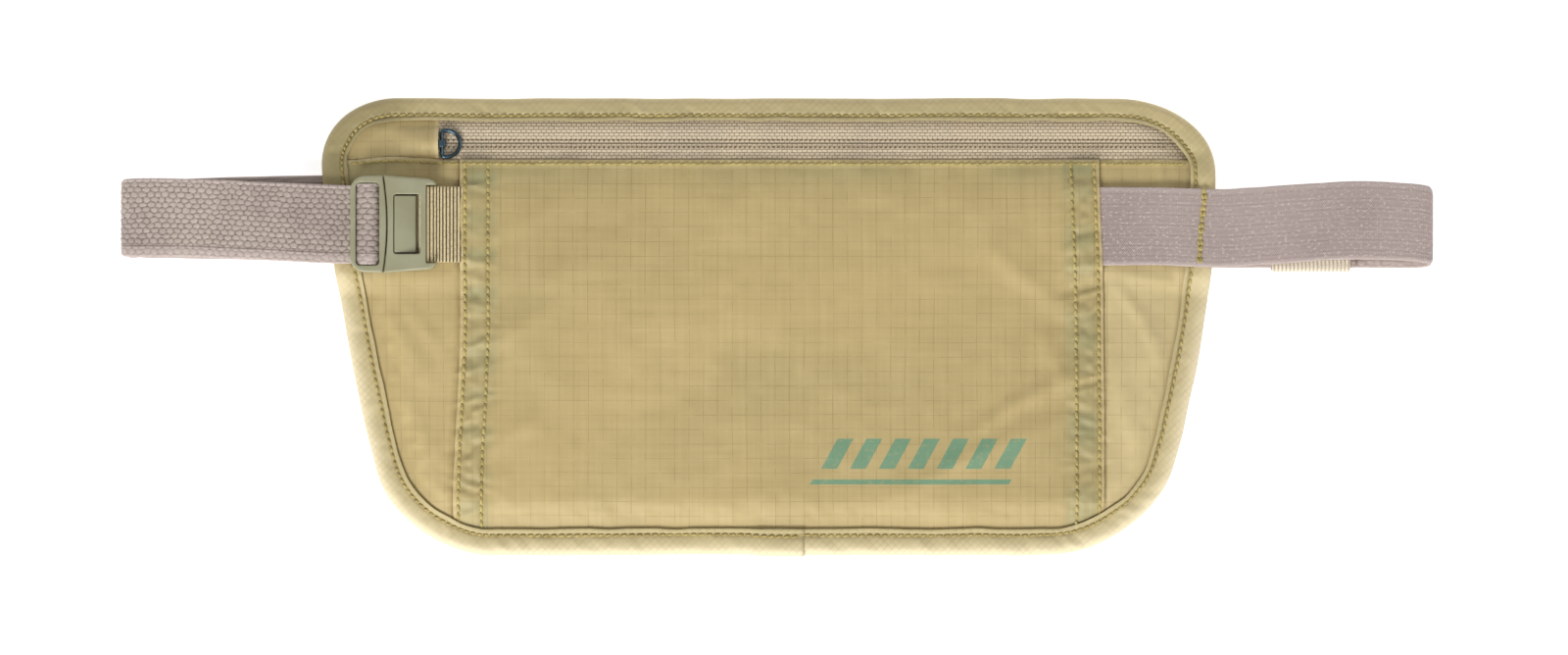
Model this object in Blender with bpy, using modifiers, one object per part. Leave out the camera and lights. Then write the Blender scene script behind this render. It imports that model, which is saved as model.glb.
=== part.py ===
"""Money belt: a flat zipped waist pouch on a 25 mm elastic strap with a centre-release buckle.

The belt lies on its back. +Z points up out of the pouch's front, X runs along the strap, +Y points to
the zip, and the origin is under the middle of the whole belt, on the table. Units are metres.
"""

import math

import bmesh
import bpy

MM = 0.001

# Pouch outline: two bowed sides between straight top and bottom edges, with elliptical corners.
TOP_Y = 73.0
BOTTOM_Y = -73.0
LEFT_SIDE = (-138.1, -0.182, 0.00075)  # x = a + b*y + c*y*y, all in mm
RIGHT_SIDE = (136.35, 0.148, -0.0015)
LEFT_CORNERS = {"top": (26.0, 22.0), "bottom": (30.0, 28.0)}  # x and y radii
RIGHT_CORNERS = {"top": (31.0, 23.0), "bottom": (32.0, 28.0)}

# Layers of the pouch, in mm.
SHARP_FOLD = math.radians(35)  # edges bent further than this are shaded sharp
CLOTH = 0.6
GAP = 0.3
EDGE_SPACE = 1.2  # room between back and front along the edge, for the zip tapes
BINDING_WIDTH = 8.5
PANEL_INSET = 2.3
SIDE_SLOPE = (5.0, 14.0)  # where the front starts to rise from the edge, and over what width
ZIP_RISE = 2.8  # how far the front stands off the back along the zip
FRONT_RISE = 1.0  # how much further it stands off below the zip

# Strap.
STRAP_WIDTH = 25.0
STRAP_THICK = 1.2
BAND_Y = 32.5  # middle of the strap behind the pouch
BAND_HALF = 14.5
BAND_SHOULDER = 9.0
BAND_LIFT = 3.0  # two strap layers and their gaps
BAND_LIFT_TAKEN = 0.7  # share of that lift the risen front takes up
STRAP_SPLIT_X = -97.0

# Steps of the cloth grids: close together where the surface bends.
CORNER_DEPTHS = (0.0, 0.5, 1.6, 3.5, 6.0, 8.5, 11.0, 14.0, 17.0, 20.0, 26.0)
BAND_STEPS = (-23.5, -21.5, -19.5, -17.5, -15.0, 0.0, 15.0, 17.0, 19.0, 21.0, 23.0, 25.0, 27.0)
SIDE_COLUMNS = (0.0, 0.1, 0.18, 0.26, 0.34, 0.44, 0.56, 0.75, 1.0)
WIDE_COLUMNS = (0.0, 0.02, 0.035, 0.05, 0.065, 0.085, 0.12, 0.5, 0.88, 0.915, 0.935, 0.95, 0.965, 0.98, 1.0)

# Front panels and zip.
SEAM_LEFT_X = -103.4
SEAM_RIGHT_X = 104.0
HEM_Y = 53.3
ZIP_Y = 58.4
TAPE_HALF_GAP = 0.45
TAPE_LOW_Y = 49.5
COIL_WIDTH = 1.2
COIL_THICK = 1.2
GARAGE_RIGHT_X = -107.9
GARAGE_LIFT = 3.1
SLIDER_X = (-116.0, -108.6)
SLIDER_HALF_WIDTH = 3.3
SLIDER_PLATE = 0.6
BRIDGE_HALF_WIDTH = 1.1
RING_X = -106.9
RING_WIRE = 1.2
RING_HALF_HEIGHT = 3.8
RING_REACH = 6.9
RING_TILT = math.radians(6.0)

# Buckle. Heights inside it are counted from its underside.
BUCKLE_Y = 32.6
BUCKLE_Z = 8.3
BUCKLE_HEIGHT = 6.6
BUCKLE_HALF_WIDTH = 15.45
BUCKLE_LEFT_X = -135.3
PARTING_X = -125.0
PARTING_BULGE = 1.2
HOUSING_RIGHT_X = -107.8
HOUSING_END_DROP = 1.3  # how much narrower the housing's right end is on each side
HOUSING_CORNER = 3.2
FRAME_CORNER = 4.6
RIM_BEVEL = 0.6
WINDOW_X = (-121.6, -113.0)
PAD_HALF_WIDTH = 9.0
PAD_GAP = 0.45
SLOT_X = (-133.6, -126.1)
SLOT_HALF_WIDTH = 13.1
TAB_HALF_WIDTH = 12.0
TAB_THICK = 0.9
LATCH_HINGE = (-115.2, 4.1)  # x, and height above the buckle's base

# Keeper.
KEEPER_X = (158.0, 183.0)
KEEPER_Y = 31.2
KEEPER_WALL = 0.8
KEEPER_HALF_WIDTH = 13.6
KEEPER_HEIGHT = 4.9


# Section of the binding, from the upper lip's rim over the edge to the lower lip's rim and back inside:
# distance in from the edge, a share of the height from the lower lip's face to the upper lip's, and mm
# added to that.
BINDING_SECTION = (
    (BINDING_WIDTH, 1.0, 0.0), (6.0, 1.0, 0.0), (3.0, 1.0, 0.0), (0.8, 1.0, -0.5),
    (0.0, 0.5, 0.0),
    (0.8, 0.0, 0.5), (3.0, 0.0, 0.0), (6.0, 0.0, 0.0), (BINDING_WIDTH, 0.0, 0.0),
    (BINDING_WIDTH, 0.0, CLOTH), (6.0, 0.0, CLOTH), (3.0, 0.0, CLOTH), (1.2, 0.0, CLOTH),
    (1.2, 1.0, -CLOTH), (3.0, 1.0, -CLOTH), (6.0, 1.0, -CLOTH), (BINDING_WIDTH, 1.0, -CLOTH),
)


# ---------------------------------------------------------------- outline and layer heights


def smooth(value):
    """0 below 0, 1 above 1, and a smooth step between."""
    t = min(max(value, 0.0), 1.0)
    return t * t * (3.0 - 2.0 * t)


def corner_shift(y, corners, inset):
    """How far a rounded corner pulls the side in at height y."""
    for end_y, (radius_x, radius_y), toward in (
        (TOP_Y - inset, corners["top"], 1.0),
        (BOTTOM_Y + inset, corners["bottom"], -1.0),
    ):
        radius_x -= inset
        radius_y -= inset
        depth = max(toward * (end_y - y), 0.0)
        if depth < radius_y:
            share = (radius_y - depth) / radius_y
            return radius_x * (1.0 - math.sqrt(max(1.0 - share * share, 0.0)))
    return 0.0


def left_edge(y, inset=0.0):
    a, b, c = LEFT_SIDE
    return a + b * y + c * y * y + inset + corner_shift(y, LEFT_CORNERS, inset)


def right_edge(y, inset=0.0):
    a, b, c = RIGHT_SIDE
    return a + b * y + c * y * y - inset - corner_shift(y, RIGHT_CORNERS, inset)


def band(y):
    """1 over the strap behind the pouch, 0 clear of it."""
    return 1.0 - smooth((abs(y - BAND_Y) - BAND_HALF) / BAND_SHOULDER)


def back_z(_x, y):
    """Underside of the back panel."""
    return CLOTH + GAP + BAND_LIFT * band(y)


def front_z(x, y):
    """Underside of the front panels."""
    y = min(max(y, BOTTOM_Y), TOP_Y)
    start, width = SIDE_SLOPE
    sides = smooth((x - left_edge(y) - start) / width) * smooth((right_edge(y) - x - start) / width)
    rise = ZIP_RISE * smooth((TOP_Y - 1.5 - y) / 9.5) + FRONT_RISE * smooth((50.0 - y) / 10.0)
    rise *= sides * smooth((y - BOTTOM_Y - start) / width)
    lift = BAND_LIFT * band(y) * (1.0 - BAND_LIFT_TAKEN * rise / (ZIP_RISE + FRONT_RISE))
    return back_z(x, BOTTOM_Y) + CLOTH + EDGE_SPACE + rise + lift


def heights(low, high, low_corner=True, high_corner=True):
    """Heights of the grid rows between two y values, closer together at rounded corners and by the strap."""
    rows = [low + depth for depth in (CORNER_DEPTHS if low_corner else (0.0,))]
    rows += [high - depth for depth in (CORNER_DEPTHS if high_corner else (0.0,))]
    rows += [BAND_Y + step for step in BAND_STEPS]
    rows += [-34.0, -12.0]
    inside = sorted(row for row in set(rows) if low <= row <= high)
    return [row for i, row in enumerate(inside) if i == 0 or row - inside[i - 1] > 0.3]


def outline_points():
    """The pouch outline anticlockwise from the right end of the bottom edge, in mm."""
    rows = heights(BOTTOM_Y, TOP_Y)
    points = [(right_edge(y), y) for y in rows]
    top = (left_edge(TOP_Y), right_edge(TOP_Y))
    points += [(top[1] + (top[0] - top[1]) * i / 8, TOP_Y) for i in range(1, 8)]
    points += [(left_edge(y), y) for y in reversed(rows)]
    low = (left_edge(BOTTOM_Y), right_edge(BOTTOM_Y))
    points += [(low[0] + (low[1] - low[0]) * i / 8, BOTTOM_Y) for i in range(1, 8)]
    return points


# ---------------------------------------------------------------- scene helpers


def clear_scene():
    for obj in list(bpy.data.objects):
        bpy.data.objects.remove(obj, do_unlink=True)


def collection(name, hidden=False):
    made = bpy.data.collections.new(name)
    made.hide_render = hidden
    bpy.context.scene.collection.children.link(made)
    return made


def material(name, color, roughness, metallic=0.0):
    made = bpy.data.materials.new(name)
    made.use_nodes = True
    shader = made.node_tree.nodes["Principled BSDF"]
    shader.inputs["Base Color"].default_value = (*color, 1.0)
    shader.inputs["Roughness"].default_value = roughness
    shader.inputs["Metallic"].default_value = metallic
    return made


def mesh_object(name, bm, mat, smooth_faces=True):
    bmesh.ops.recalc_face_normals(bm, faces=bm.faces)
    mesh = bpy.data.meshes.new(name)
    bm.to_mesh(mesh)
    bm.free()
    if smooth_faces:
        mesh.shade_smooth()
        mesh.set_sharp_from_angle(angle=SHARP_FOLD)
    obj = bpy.data.objects.new(name, mesh)
    BELT.objects.link(obj)
    if mat:
        obj.data.materials.append(mat)
    return obj


def set_origin(obj, point):
    """Moves the object's origin to a point in world mm, leaving its shape where it is."""
    place = [value * MM for value in point]
    for vertex in obj.data.vertices:
        vertex.co = [value - shift for value, shift in zip(vertex.co, place)]
    obj.location = place


def cutter(obj):
    """Turns an object into a hidden cutter."""
    BELT.objects.unlink(obj)
    CUTTERS.objects.link(obj)
    obj.hide_render = True
    obj.display_type = "WIRE"
    return obj


def boolean(obj, other, operation):
    modifier = obj.modifiers.new(f"{operation.title()} {other.name}", "BOOLEAN")
    modifier.operation = operation
    modifier.object = other


def sheet(name, mat, x_range, rows, lower, thick, columns):
    """A sheet of cloth: a grid between two edges, laid on the surface lower(x, y), and given thickness.

    rows are y values in mm, and columns are shares of the width.
    """
    bm = bmesh.new()
    across = len(columns) - 1
    along = len(rows) - 1
    bmesh.ops.create_grid(bm, x_segments=across, y_segments=along, size=1.0)
    for vertex in bm.verts:
        y = rows[round((vertex.co.y + 1.0) / 2.0 * along)]
        x0 = x_range[0](y)
        x = x0 + (x_range[1](y) - x0) * columns[round((vertex.co.x + 1.0) / 2.0 * across)]
        vertex.co = (x * MM, y * MM, lower(x, y) * MM)
    raised = bmesh.ops.extrude_face_region(bm, geom=list(bm.faces))["geom"]
    top = [item for item in raised if isinstance(item, bmesh.types.BMVert)]
    bmesh.ops.translate(bm, verts=top, vec=(0.0, 0.0, thick * MM))
    return mesh_object(name, bm, mat)


def curve_through(points, steps):
    """Points on a smooth curve through the given ones (a centripetal Catmull-Rom curve)."""
    first = [2 * a - b for a, b in zip(points[0], points[1])]
    last = [2 * a - b for a, b in zip(points[-1], points[-2])]
    padded = [first, *points, last]
    stages = (((0, 1), (1, 2), (2, 3)), ((0, 2), (1, 3)), ((1, 2),))  # knots that each blend runs between
    curve = []
    for group in zip(padded, padded[1:], padded[2:], padded[3:]):
        knots = [0.0]
        for a, b in zip(group, group[1:]):
            knots.append(knots[-1] + math.dist(a, b) ** 0.5)
        for i in range(steps):
            t = knots[1] + (knots[2] - knots[1]) * i / steps
            level = group
            for spans in stages:
                blended = []
                for (low, high), before, after in zip(spans, level, level[1:]):
                    share = (t - knots[low]) / (knots[high] - knots[low])
                    blended.append([a + (b - a) * share for a, b in zip(before, after)])
                level = blended
            curve.append(tuple(level[0]))
    return [*curve, tuple(points[-1])]


def ribbon(name, mat, points, width, thick, steps=4):
    """A strap through (x, middle y, z) points: an open strip with Solidify on it."""
    bm = bmesh.new()
    rows = []
    for x, y, z in curve_through(points, steps):
        z = max(z, thick / 2)
        rows.append([bm.verts.new((x * MM, (y + side * width / 2) * MM, z * MM)) for side in (-1, 1)])
    for row, following in zip(rows, rows[1:]):
        bm.faces.new((row[0], following[0], following[1], row[1]))
    obj = mesh_object(name, bm, mat)
    solidify = obj.modifiers.new("Thickness", "SOLIDIFY")
    solidify.thickness = thick * MM
    solidify.offset = 0.0
    return obj


def rounded(corners, steps=5):
    """A closed outline from (x, y, radius) corners, with an arc at each."""
    points = []
    count = len(corners)
    for i, (x, y, radius) in enumerate(corners):
        if radius <= 0.0:
            points.append((x, y))
            continue
        ends = []
        for other in (corners[i - 1], corners[(i + 1) % count]):
            run = math.hypot(other[0] - x, other[1] - y)
            ends.append(((other[0] - x) / run, (other[1] - y) / run))
        half = math.acos(ends[0][0] * ends[1][0] + ends[0][1] * ends[1][1]) / 2.0
        reach = radius / math.tan(half)
        middle = [a + b for a, b in zip(*ends)]
        away = radius / math.sin(half) / math.hypot(*middle)
        centre = (x + middle[0] * away, y + middle[1] * away)
        starts = [(x + e[0] * reach - centre[0], y + e[1] * reach - centre[1]) for e in ends]
        first = math.atan2(starts[0][1], starts[0][0])
        turn = math.atan2(starts[1][1], starts[1][0]) - first
        turn = (turn + math.pi) % (2 * math.pi) - math.pi
        for step in range(steps + 1):
            angle = first + turn * step / steps
            points.append((centre[0] + radius * math.cos(angle), centre[1] + radius * math.sin(angle)))
    return points


def plate(name, mat, outline, z_range, bevel=0.0, plane="XY"):
    """A flat outline given thickness along the third axis, with rounded rims where bevel is set."""
    curve = bpy.data.curves.new(name, "CURVE")
    curve.dimensions = "2D"
    curve.fill_mode = "BOTH"
    spline = curve.splines.new("POLY")
    spline.points.add(len(outline) - 1)
    for point, (x, y) in zip(spline.points, outline):
        point.co = (x * MM, y * MM, 0.0, 1.0)
    spline.use_cyclic_u = True
    curve.extrude = (z_range[1] - z_range[0]) * MM / 2 - bevel * MM
    curve.bevel_depth = bevel * MM
    curve.bevel_resolution = 1
    curve.offset = -bevel * MM
    guide = bpy.data.objects.new(name + "_outline", curve)
    bpy.context.scene.collection.objects.link(guide)
    bpy.context.view_layer.update()
    mesh = bpy.data.meshes.new_from_object(guide.evaluated_get(bpy.context.evaluated_depsgraph_get()))
    bpy.data.objects.remove(guide, do_unlink=True)
    bm = bmesh.new()
    bm.from_mesh(mesh)
    bpy.data.meshes.remove(mesh)
    bmesh.ops.remove_doubles(bm, verts=bm.verts, dist=0.00001)
    middle = (z_range[0] + z_range[1]) / 2 * MM
    for vertex in bm.verts:
        u, v, w = vertex.co
        vertex.co = {"XY": (u, v, w + middle), "YZ": (w + middle, u, v), "XZ": (u, middle - w, v)}[plane]
    return mesh_object(name, bm, mat)


def box(name, mat, x_range, y_range, z_range):
    bm = bmesh.new()
    bmesh.ops.create_cube(bm, size=1.0)
    for vertex in bm.verts:
        vertex.co = [
            (low + (high - low) * (value + 0.5)) * MM
            for value, (low, high) in zip(vertex.co, (x_range, y_range, z_range))
        ]
    return mesh_object(name, bm, mat, smooth_faces=False)


# ---------------------------------------------------------------- pouch


def build_panels(cloth):
    inset = PANEL_INSET
    low = BOTTOM_Y + inset
    sheet(
        "back_panel", cloth,
        (lambda y: left_edge(y, inset), lambda y: right_edge(y, inset)),
        heights(low, TOP_Y - inset), back_z, CLOTH, (0.0, 0.5, 1.0),
    )
    sheet(
        "front_panel", cloth,
        (lambda y: max(SEAM_LEFT_X, left_edge(y, inset)), lambda y: min(SEAM_RIGHT_X, right_edge(y, inset))),
        heights(low, HEM_Y, high_corner=False), front_z, CLOTH, WIDE_COLUMNS,
    )
    rows = heights(low + 7.0, HEM_Y, high_corner=False)  # the outline has passed the seams below this
    sheet(
        "side_panel_left", cloth,
        (lambda y: left_edge(y, inset), lambda y: SEAM_LEFT_X - GAP),
        rows, front_z, CLOTH, SIDE_COLUMNS,
    )
    sheet(
        "side_panel_right", cloth,
        (lambda y: SEAM_RIGHT_X + GAP, lambda y: right_edge(y, inset)),
        rows, front_z, CLOTH, [1.0 - share for share in reversed(SIDE_COLUMNS)],
    )


def build_binding(cloth):
    """The bias tape folded over the pouch's edge: one section lofted round the outline."""
    points = outline_points()
    count = len(points)
    rings = []
    bm = bmesh.new()
    for i, (x, y) in enumerate(points):
        ahead = points[(i + 1) % count]
        behind = points[i - 1]
        along = (ahead[0] - behind[0], ahead[1] - behind[1])
        length = math.hypot(*along)
        inward = (-along[1] / length, along[0] / length)
        ring = []
        for inset, share, extra in BINDING_SECTION:
            px = x + inward[0] * inset
            py = y + inward[1] * inset
            top = front_z(px, py) + 2 * CLOTH + GAP
            bottom = back_z(px, py) - CLOTH - GAP
            z = bottom + (top - bottom) * share + extra
            ring.append(bm.verts.new((px * MM, py * MM, z * MM)))
        rings.append(ring)
    size = len(BINDING_SECTION)
    for i, ring in enumerate(rings):
        following = rings[(i + 1) % count]
        for k in range(size):
            bm.faces.new((ring[k], following[k], following[(k + 1) % size], ring[(k + 1) % size]))
    mesh_object("edge_binding", bm, cloth)


def build_zip(tape, coil, metal, cloth):
    inset = PANEL_INSET
    drop = CLOTH + GAP

    def tape_z(x, y):
        return front_z(x, y) - drop

    def coil_z(x, y):
        return tape_z(x, y) - GAP - COIL_THICK

    edges = (lambda y: left_edge(y, inset), lambda y: right_edge(y, inset))
    inner = ZIP_Y + TAPE_HALF_GAP
    outer = ZIP_Y - TAPE_HALF_GAP
    rows = [inner] + [TOP_Y - depth for depth in (10.5, 8.5, 6.5, 4.5, 3.0, 2.0, inset)]
    sheet("zip_tape_upper", tape, edges, rows, tape_z, CLOTH, WIDE_COLUMNS)
    rows = [TAPE_LOW_Y, 51.5, 53.5, 55.5, outer]
    sheet("zip_tape_lower", tape, edges, rows, tape_z, CLOTH, WIDE_COLUMNS)
    ends = (lambda y: -130.5, lambda y: 123.5)
    sheet("zip_coil_upper", coil, ends, [inner, inner + COIL_WIDTH], coil_z, COIL_THICK, WIDE_COLUMNS)
    sheet("zip_coil_lower", coil, ends, [outer - COIL_WIDTH, outer], coil_z, COIL_THICK, WIDE_COLUMNS)

    def garage_z(x, y):
        across = max(1.0 - ((y - ZIP_Y) / 5.0) ** 2, 0.0)
        return front_z(x, y) + GARAGE_LIFT * across * smooth((x + 128.0) / 18.0)

    sheet(
        "zip_garage", cloth,
        (lambda y: left_edge(y, inset), lambda y: GARAGE_RIGHT_X),
        [HEM_Y + GAP, 55.0, 56.7, ZIP_Y, 60.1, 61.8, 63.5, 66.5, 69.0, TOP_Y - inset],
        garage_z, CLOTH, (0.0, 0.1, 0.2, 0.3, 0.4, 0.5, 0.6, 0.7, 0.8, 0.9, 1.0),
    )
    build_slider(metal)
    build_ring(metal)


def build_slider(metal):
    """Top and bottom plates joined by a thin web that runs in the gap between the tapes."""
    tape_low = front_z(0.0, ZIP_Y) - CLOTH - GAP
    tape_high = tape_low + CLOTH
    low = ZIP_Y - SLIDER_HALF_WIDTH
    high = ZIP_Y + SLIDER_HALF_WIDTH
    bridge = (ZIP_Y - BRIDGE_HALF_WIDTH, ZIP_Y + BRIDGE_HALF_WIDTH)
    plate_high = (tape_high + GAP, tape_high + GAP + SLIDER_PLATE)
    floor = tape_low - GAP - COIL_THICK - GAP
    x0, x1 = SLIDER_X
    outline = rounded([(x0, low + 0.6, 1.2), (x1, low, 0.8), (x1, high, 0.8), (x0, high - 0.6, 1.2)])
    body = plate("zip_slider", metal, outline, plate_high, 0.15)
    web_z = (floor - SLIDER_PLATE / 2, plate_high[0] + SLIDER_PLATE / 2)
    parts = [
        plate("slider_floor", metal, outline, (floor - SLIDER_PLATE, floor), 0.15),
        box("slider_web", metal, (x0 + 0.6, x1 - 0.6), (ZIP_Y - 0.15, ZIP_Y + 0.15), web_z),
        box("slider_tongue", metal, (x1 - 1.0, RING_X + 1.5), bridge, plate_high),
    ]
    bar_z = ring_height()
    clear = RING_WIRE / 2 + 0.2
    arch = [
        (RING_X + clear + 0.6, plate_high[0] + 0.2, 0.0), (RING_X + clear + 0.6, bar_z + clear + 0.5, 0.7),
        (RING_X - clear - 0.6, bar_z + clear + 0.5, 0.7), (RING_X - clear - 0.6, plate_high[0] + 0.2, 0.0),
        (RING_X - clear, plate_high[0] + 0.2, 0.0), (RING_X - clear, bar_z + clear, 0.3),
        (RING_X + clear, bar_z + clear, 0.3), (RING_X + clear, plate_high[0] + 0.2, 0.0),
    ]
    parts.append(plate("slider_bridge", metal, rounded(arch, 3), bridge, plane="XZ"))
    for part in parts:
        boolean(body, cutter(part), "UNION")


def ring_height():
    """Height of the pull ring's bar over the table."""
    return front_z(0.0, ZIP_Y) + SLIDER_PLATE + 0.2 + RING_WIRE / 2


def build_ring(metal):
    """D-shaped wire pull: a straight bar in the slider's bridge and a round bow."""
    half = RING_HALF_HEIGHT
    straight = RING_REACH - half
    turns = [math.pi * i / 12 for i in range(1, 12)]
    path = [(0.0, -half + 0.8), (0.0, half - 0.8), (0.25, half - 0.25), (0.8, half), (straight, half)]
    path += [(straight + half * math.sin(turn), half * math.cos(turn)) for turn in turns]
    path += [(straight, -half), (0.8, -half), (0.25, -half + 0.25)]
    curve = bpy.data.curves.new("zip_pull_ring", "CURVE")
    curve.dimensions = "3D"
    spline = curve.splines.new("POLY")
    spline.points.add(len(path) - 1)
    for point, (x, y) in zip(spline.points, path):
        point.co = (x * MM, y * MM, 0.0, 1.0)
    spline.use_cyclic_u = True
    curve.bevel_depth = RING_WIRE / 2 * MM
    curve.bevel_resolution = 2
    curve.materials.append(metal)
    ring = bpy.data.objects.new("zip_pull_ring", curve)
    ring.location = (RING_X * MM, ZIP_Y * MM, ring_height() * MM)
    ring.rotation_euler = (0.0, RING_TILT, 0.0)
    BELT.objects.link(ring)


# ---------------------------------------------------------------- buckle


def parting_arc(x, rising):
    """Points of the bulged line where the two halves of the buckle meet."""
    half = BUCKLE_HALF_WIDTH - 0.3
    steps = [-1.0 + 2.0 * i / 10 for i in range(11)]
    arc = [(x + PARTING_BULGE * (1.0 - s * s), BUCKLE_Y + half * s) for s in steps]
    return arc if rising else arc[::-1]


def buckle_z(low, high):
    return (BUCKLE_Z + low, BUCKLE_Z + high)


def across(half):
    return (BUCKLE_Y - half, BUCKLE_Y + half)


def rounded_box(x_range, half, radius):
    """Outline of a rounded rectangle centred on the buckle's middle line."""
    low, high = across(half)
    left, right = x_range
    return rounded([(left, low, radius), (right, low, radius), (right, high, radius), (left, high, radius)])


def build_housing(plastic):
    """Female half: a socket with a window over the latch, and a bar that the webbing tab wraps."""
    half = BUCKLE_HALF_WIDTH
    end = half - HOUSING_END_DROP
    right = rounded(
        [
            (PARTING_X + GAP, BUCKLE_Y - half, 0.0), (HOUSING_RIGHT_X, BUCKLE_Y - end, HOUSING_CORNER),
            (HOUSING_RIGHT_X, BUCKLE_Y + end, HOUSING_CORNER), (PARTING_X + GAP, BUCKLE_Y + half, 0.0),
        ], 9,
    )
    outline = right + parting_arc(PARTING_X + GAP, rising=False)
    body = plate("buckle_housing", plastic, outline, buckle_z(0.0, BUCKLE_HEIGHT), RIM_BEVEL)
    window = rounded_box(WINDOW_X, PAD_HALF_WIDTH + PAD_GAP, 0.9)
    cuts = (
        box("socket_space", None, (-130.0, -114.4), across(11.5), buckle_z(1.3, 5.2)),
        plate("window_space", None, window, buckle_z(4.0, 8.0)),
        box("tab_space", None, (-114.5, -104.0), across(12.4), buckle_z(-1.0, 5.2)),
        box("tab_mouth", None, (-111.3, -104.0), across(12.4), buckle_z(4.0, 9.0)),
    )
    for cut in cuts:
        boolean(body, cutter(cut), "DIFFERENCE")
    low, high = buckle_z(2.2, 3.8)
    section = rounded([(-113.1, low, 0.5), (-111.5, low, 0.5), (-111.5, high, 0.5), (-113.1, high, 0.5)], 2)
    bar = plate("tab_bar", plastic, section, across(13.2), plane="XZ")
    boolean(body, cutter(bar), "UNION")


def build_frame(plastic):
    """Male half: a strap adjuster with a centre bar, and two rails that enter the socket."""
    half = BUCKLE_HALF_WIDTH
    left = BUCKLE_LEFT_X
    outline = rounded(
        [
            (PARTING_X, BUCKLE_Y + half, 0.0), (left, BUCKLE_Y + half - GAP, FRAME_CORNER),
            (left, BUCKLE_Y - half + GAP, FRAME_CORNER), (PARTING_X, BUCKLE_Y - half, 0.0),
        ], 9,
    ) + parting_arc(PARTING_X, rising=True)
    body = plate("buckle_frame", plastic, outline, buckle_z(0.0, BUCKLE_HEIGHT), RIM_BEVEL)
    slot = rounded_box(SLOT_X, SLOT_HALF_WIDTH, 1.2)
    cuts = (
        plate("slot_space", None, slot, buckle_z(-1.0, 8.0)),
        box("strap_entry", None, (-140.0, -131.7), across(SLOT_HALF_WIDTH), buckle_z(-1.0, 3.0)),
    )
    for cut in cuts:
        boolean(body, cutter(cut), "DIFFERENCE")
    low, high = buckle_z(1.9, 4.1)
    section = rounded([(-131.4, low, 0.8), (-128.8, low, 0.8), (-128.8, high, 0.8), (-131.4, high, 0.8)], 3)
    rail_z = buckle_z(1.6, 4.9)
    parts = [
        plate("adjuster_bar", plastic, section, across(13.6), plane="XZ"),
        box("plug_tip", plastic, (-116.4, -115.2), across(11.0), buckle_z(1.6, 3.0)),
        box("rail_low", plastic, (-125.6, -115.2), (BUCKLE_Y - 11.2, BUCKLE_Y - 9.8), rail_z),
        box("rail_high", plastic, (-125.6, -115.2), (BUCKLE_Y + 9.8, BUCKLE_Y + 11.2), rail_z),
    ]
    for part in parts:
        boolean(body, cutter(part), "UNION")


def build_latch(plastic):
    """Spring tongue rooted at the plug's tip, with a wedge pad that stands in the housing's window."""
    hinge_x, hinge_z = LATCH_HINGE
    profile = [
        (-122.9, 3.4), (-114.9, 3.4), (-114.5, 3.8), (-114.5, 4.6), (-114.8, 4.9), (-121.1, 6.3), (-121.35, 6.1),
        (-121.35, 4.8), (-122.9, 4.8),
    ]
    profile = [(x, BUCKLE_Z + z) for x, z in profile]
    latch = plate("buckle_latch", plastic, profile, across(PAD_HALF_WIDTH), plane="XZ")
    set_origin(latch, (hinge_x, BUCKLE_Y, BUCKLE_Z + hinge_z))


def build_tab(webbing):
    """Grosgrain loop from the left seam round the housing's bar and back."""
    base = BUCKLE_Z
    route = [
        (SEAM_LEFT_X - GAP, base + 1.65), (-107.0, base + 2.5), (-110.0, base + 4.2), (-112.3, base + 4.55),
        (-113.6, base + 4.0), (-113.9, base + 3.0), (-113.6, base + 2.0), (-112.3, base + 1.45),
        (-109.0, base + 1.0), (SEAM_LEFT_X - GAP, base + 0.45),
    ]
    points = [(x, BUCKLE_Y, z) for x, z in route]
    ribbon("webbing_tab", webbing, points, 2 * TAB_HALF_WIDTH, TAB_THICK)


# ---------------------------------------------------------------- strap


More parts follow.
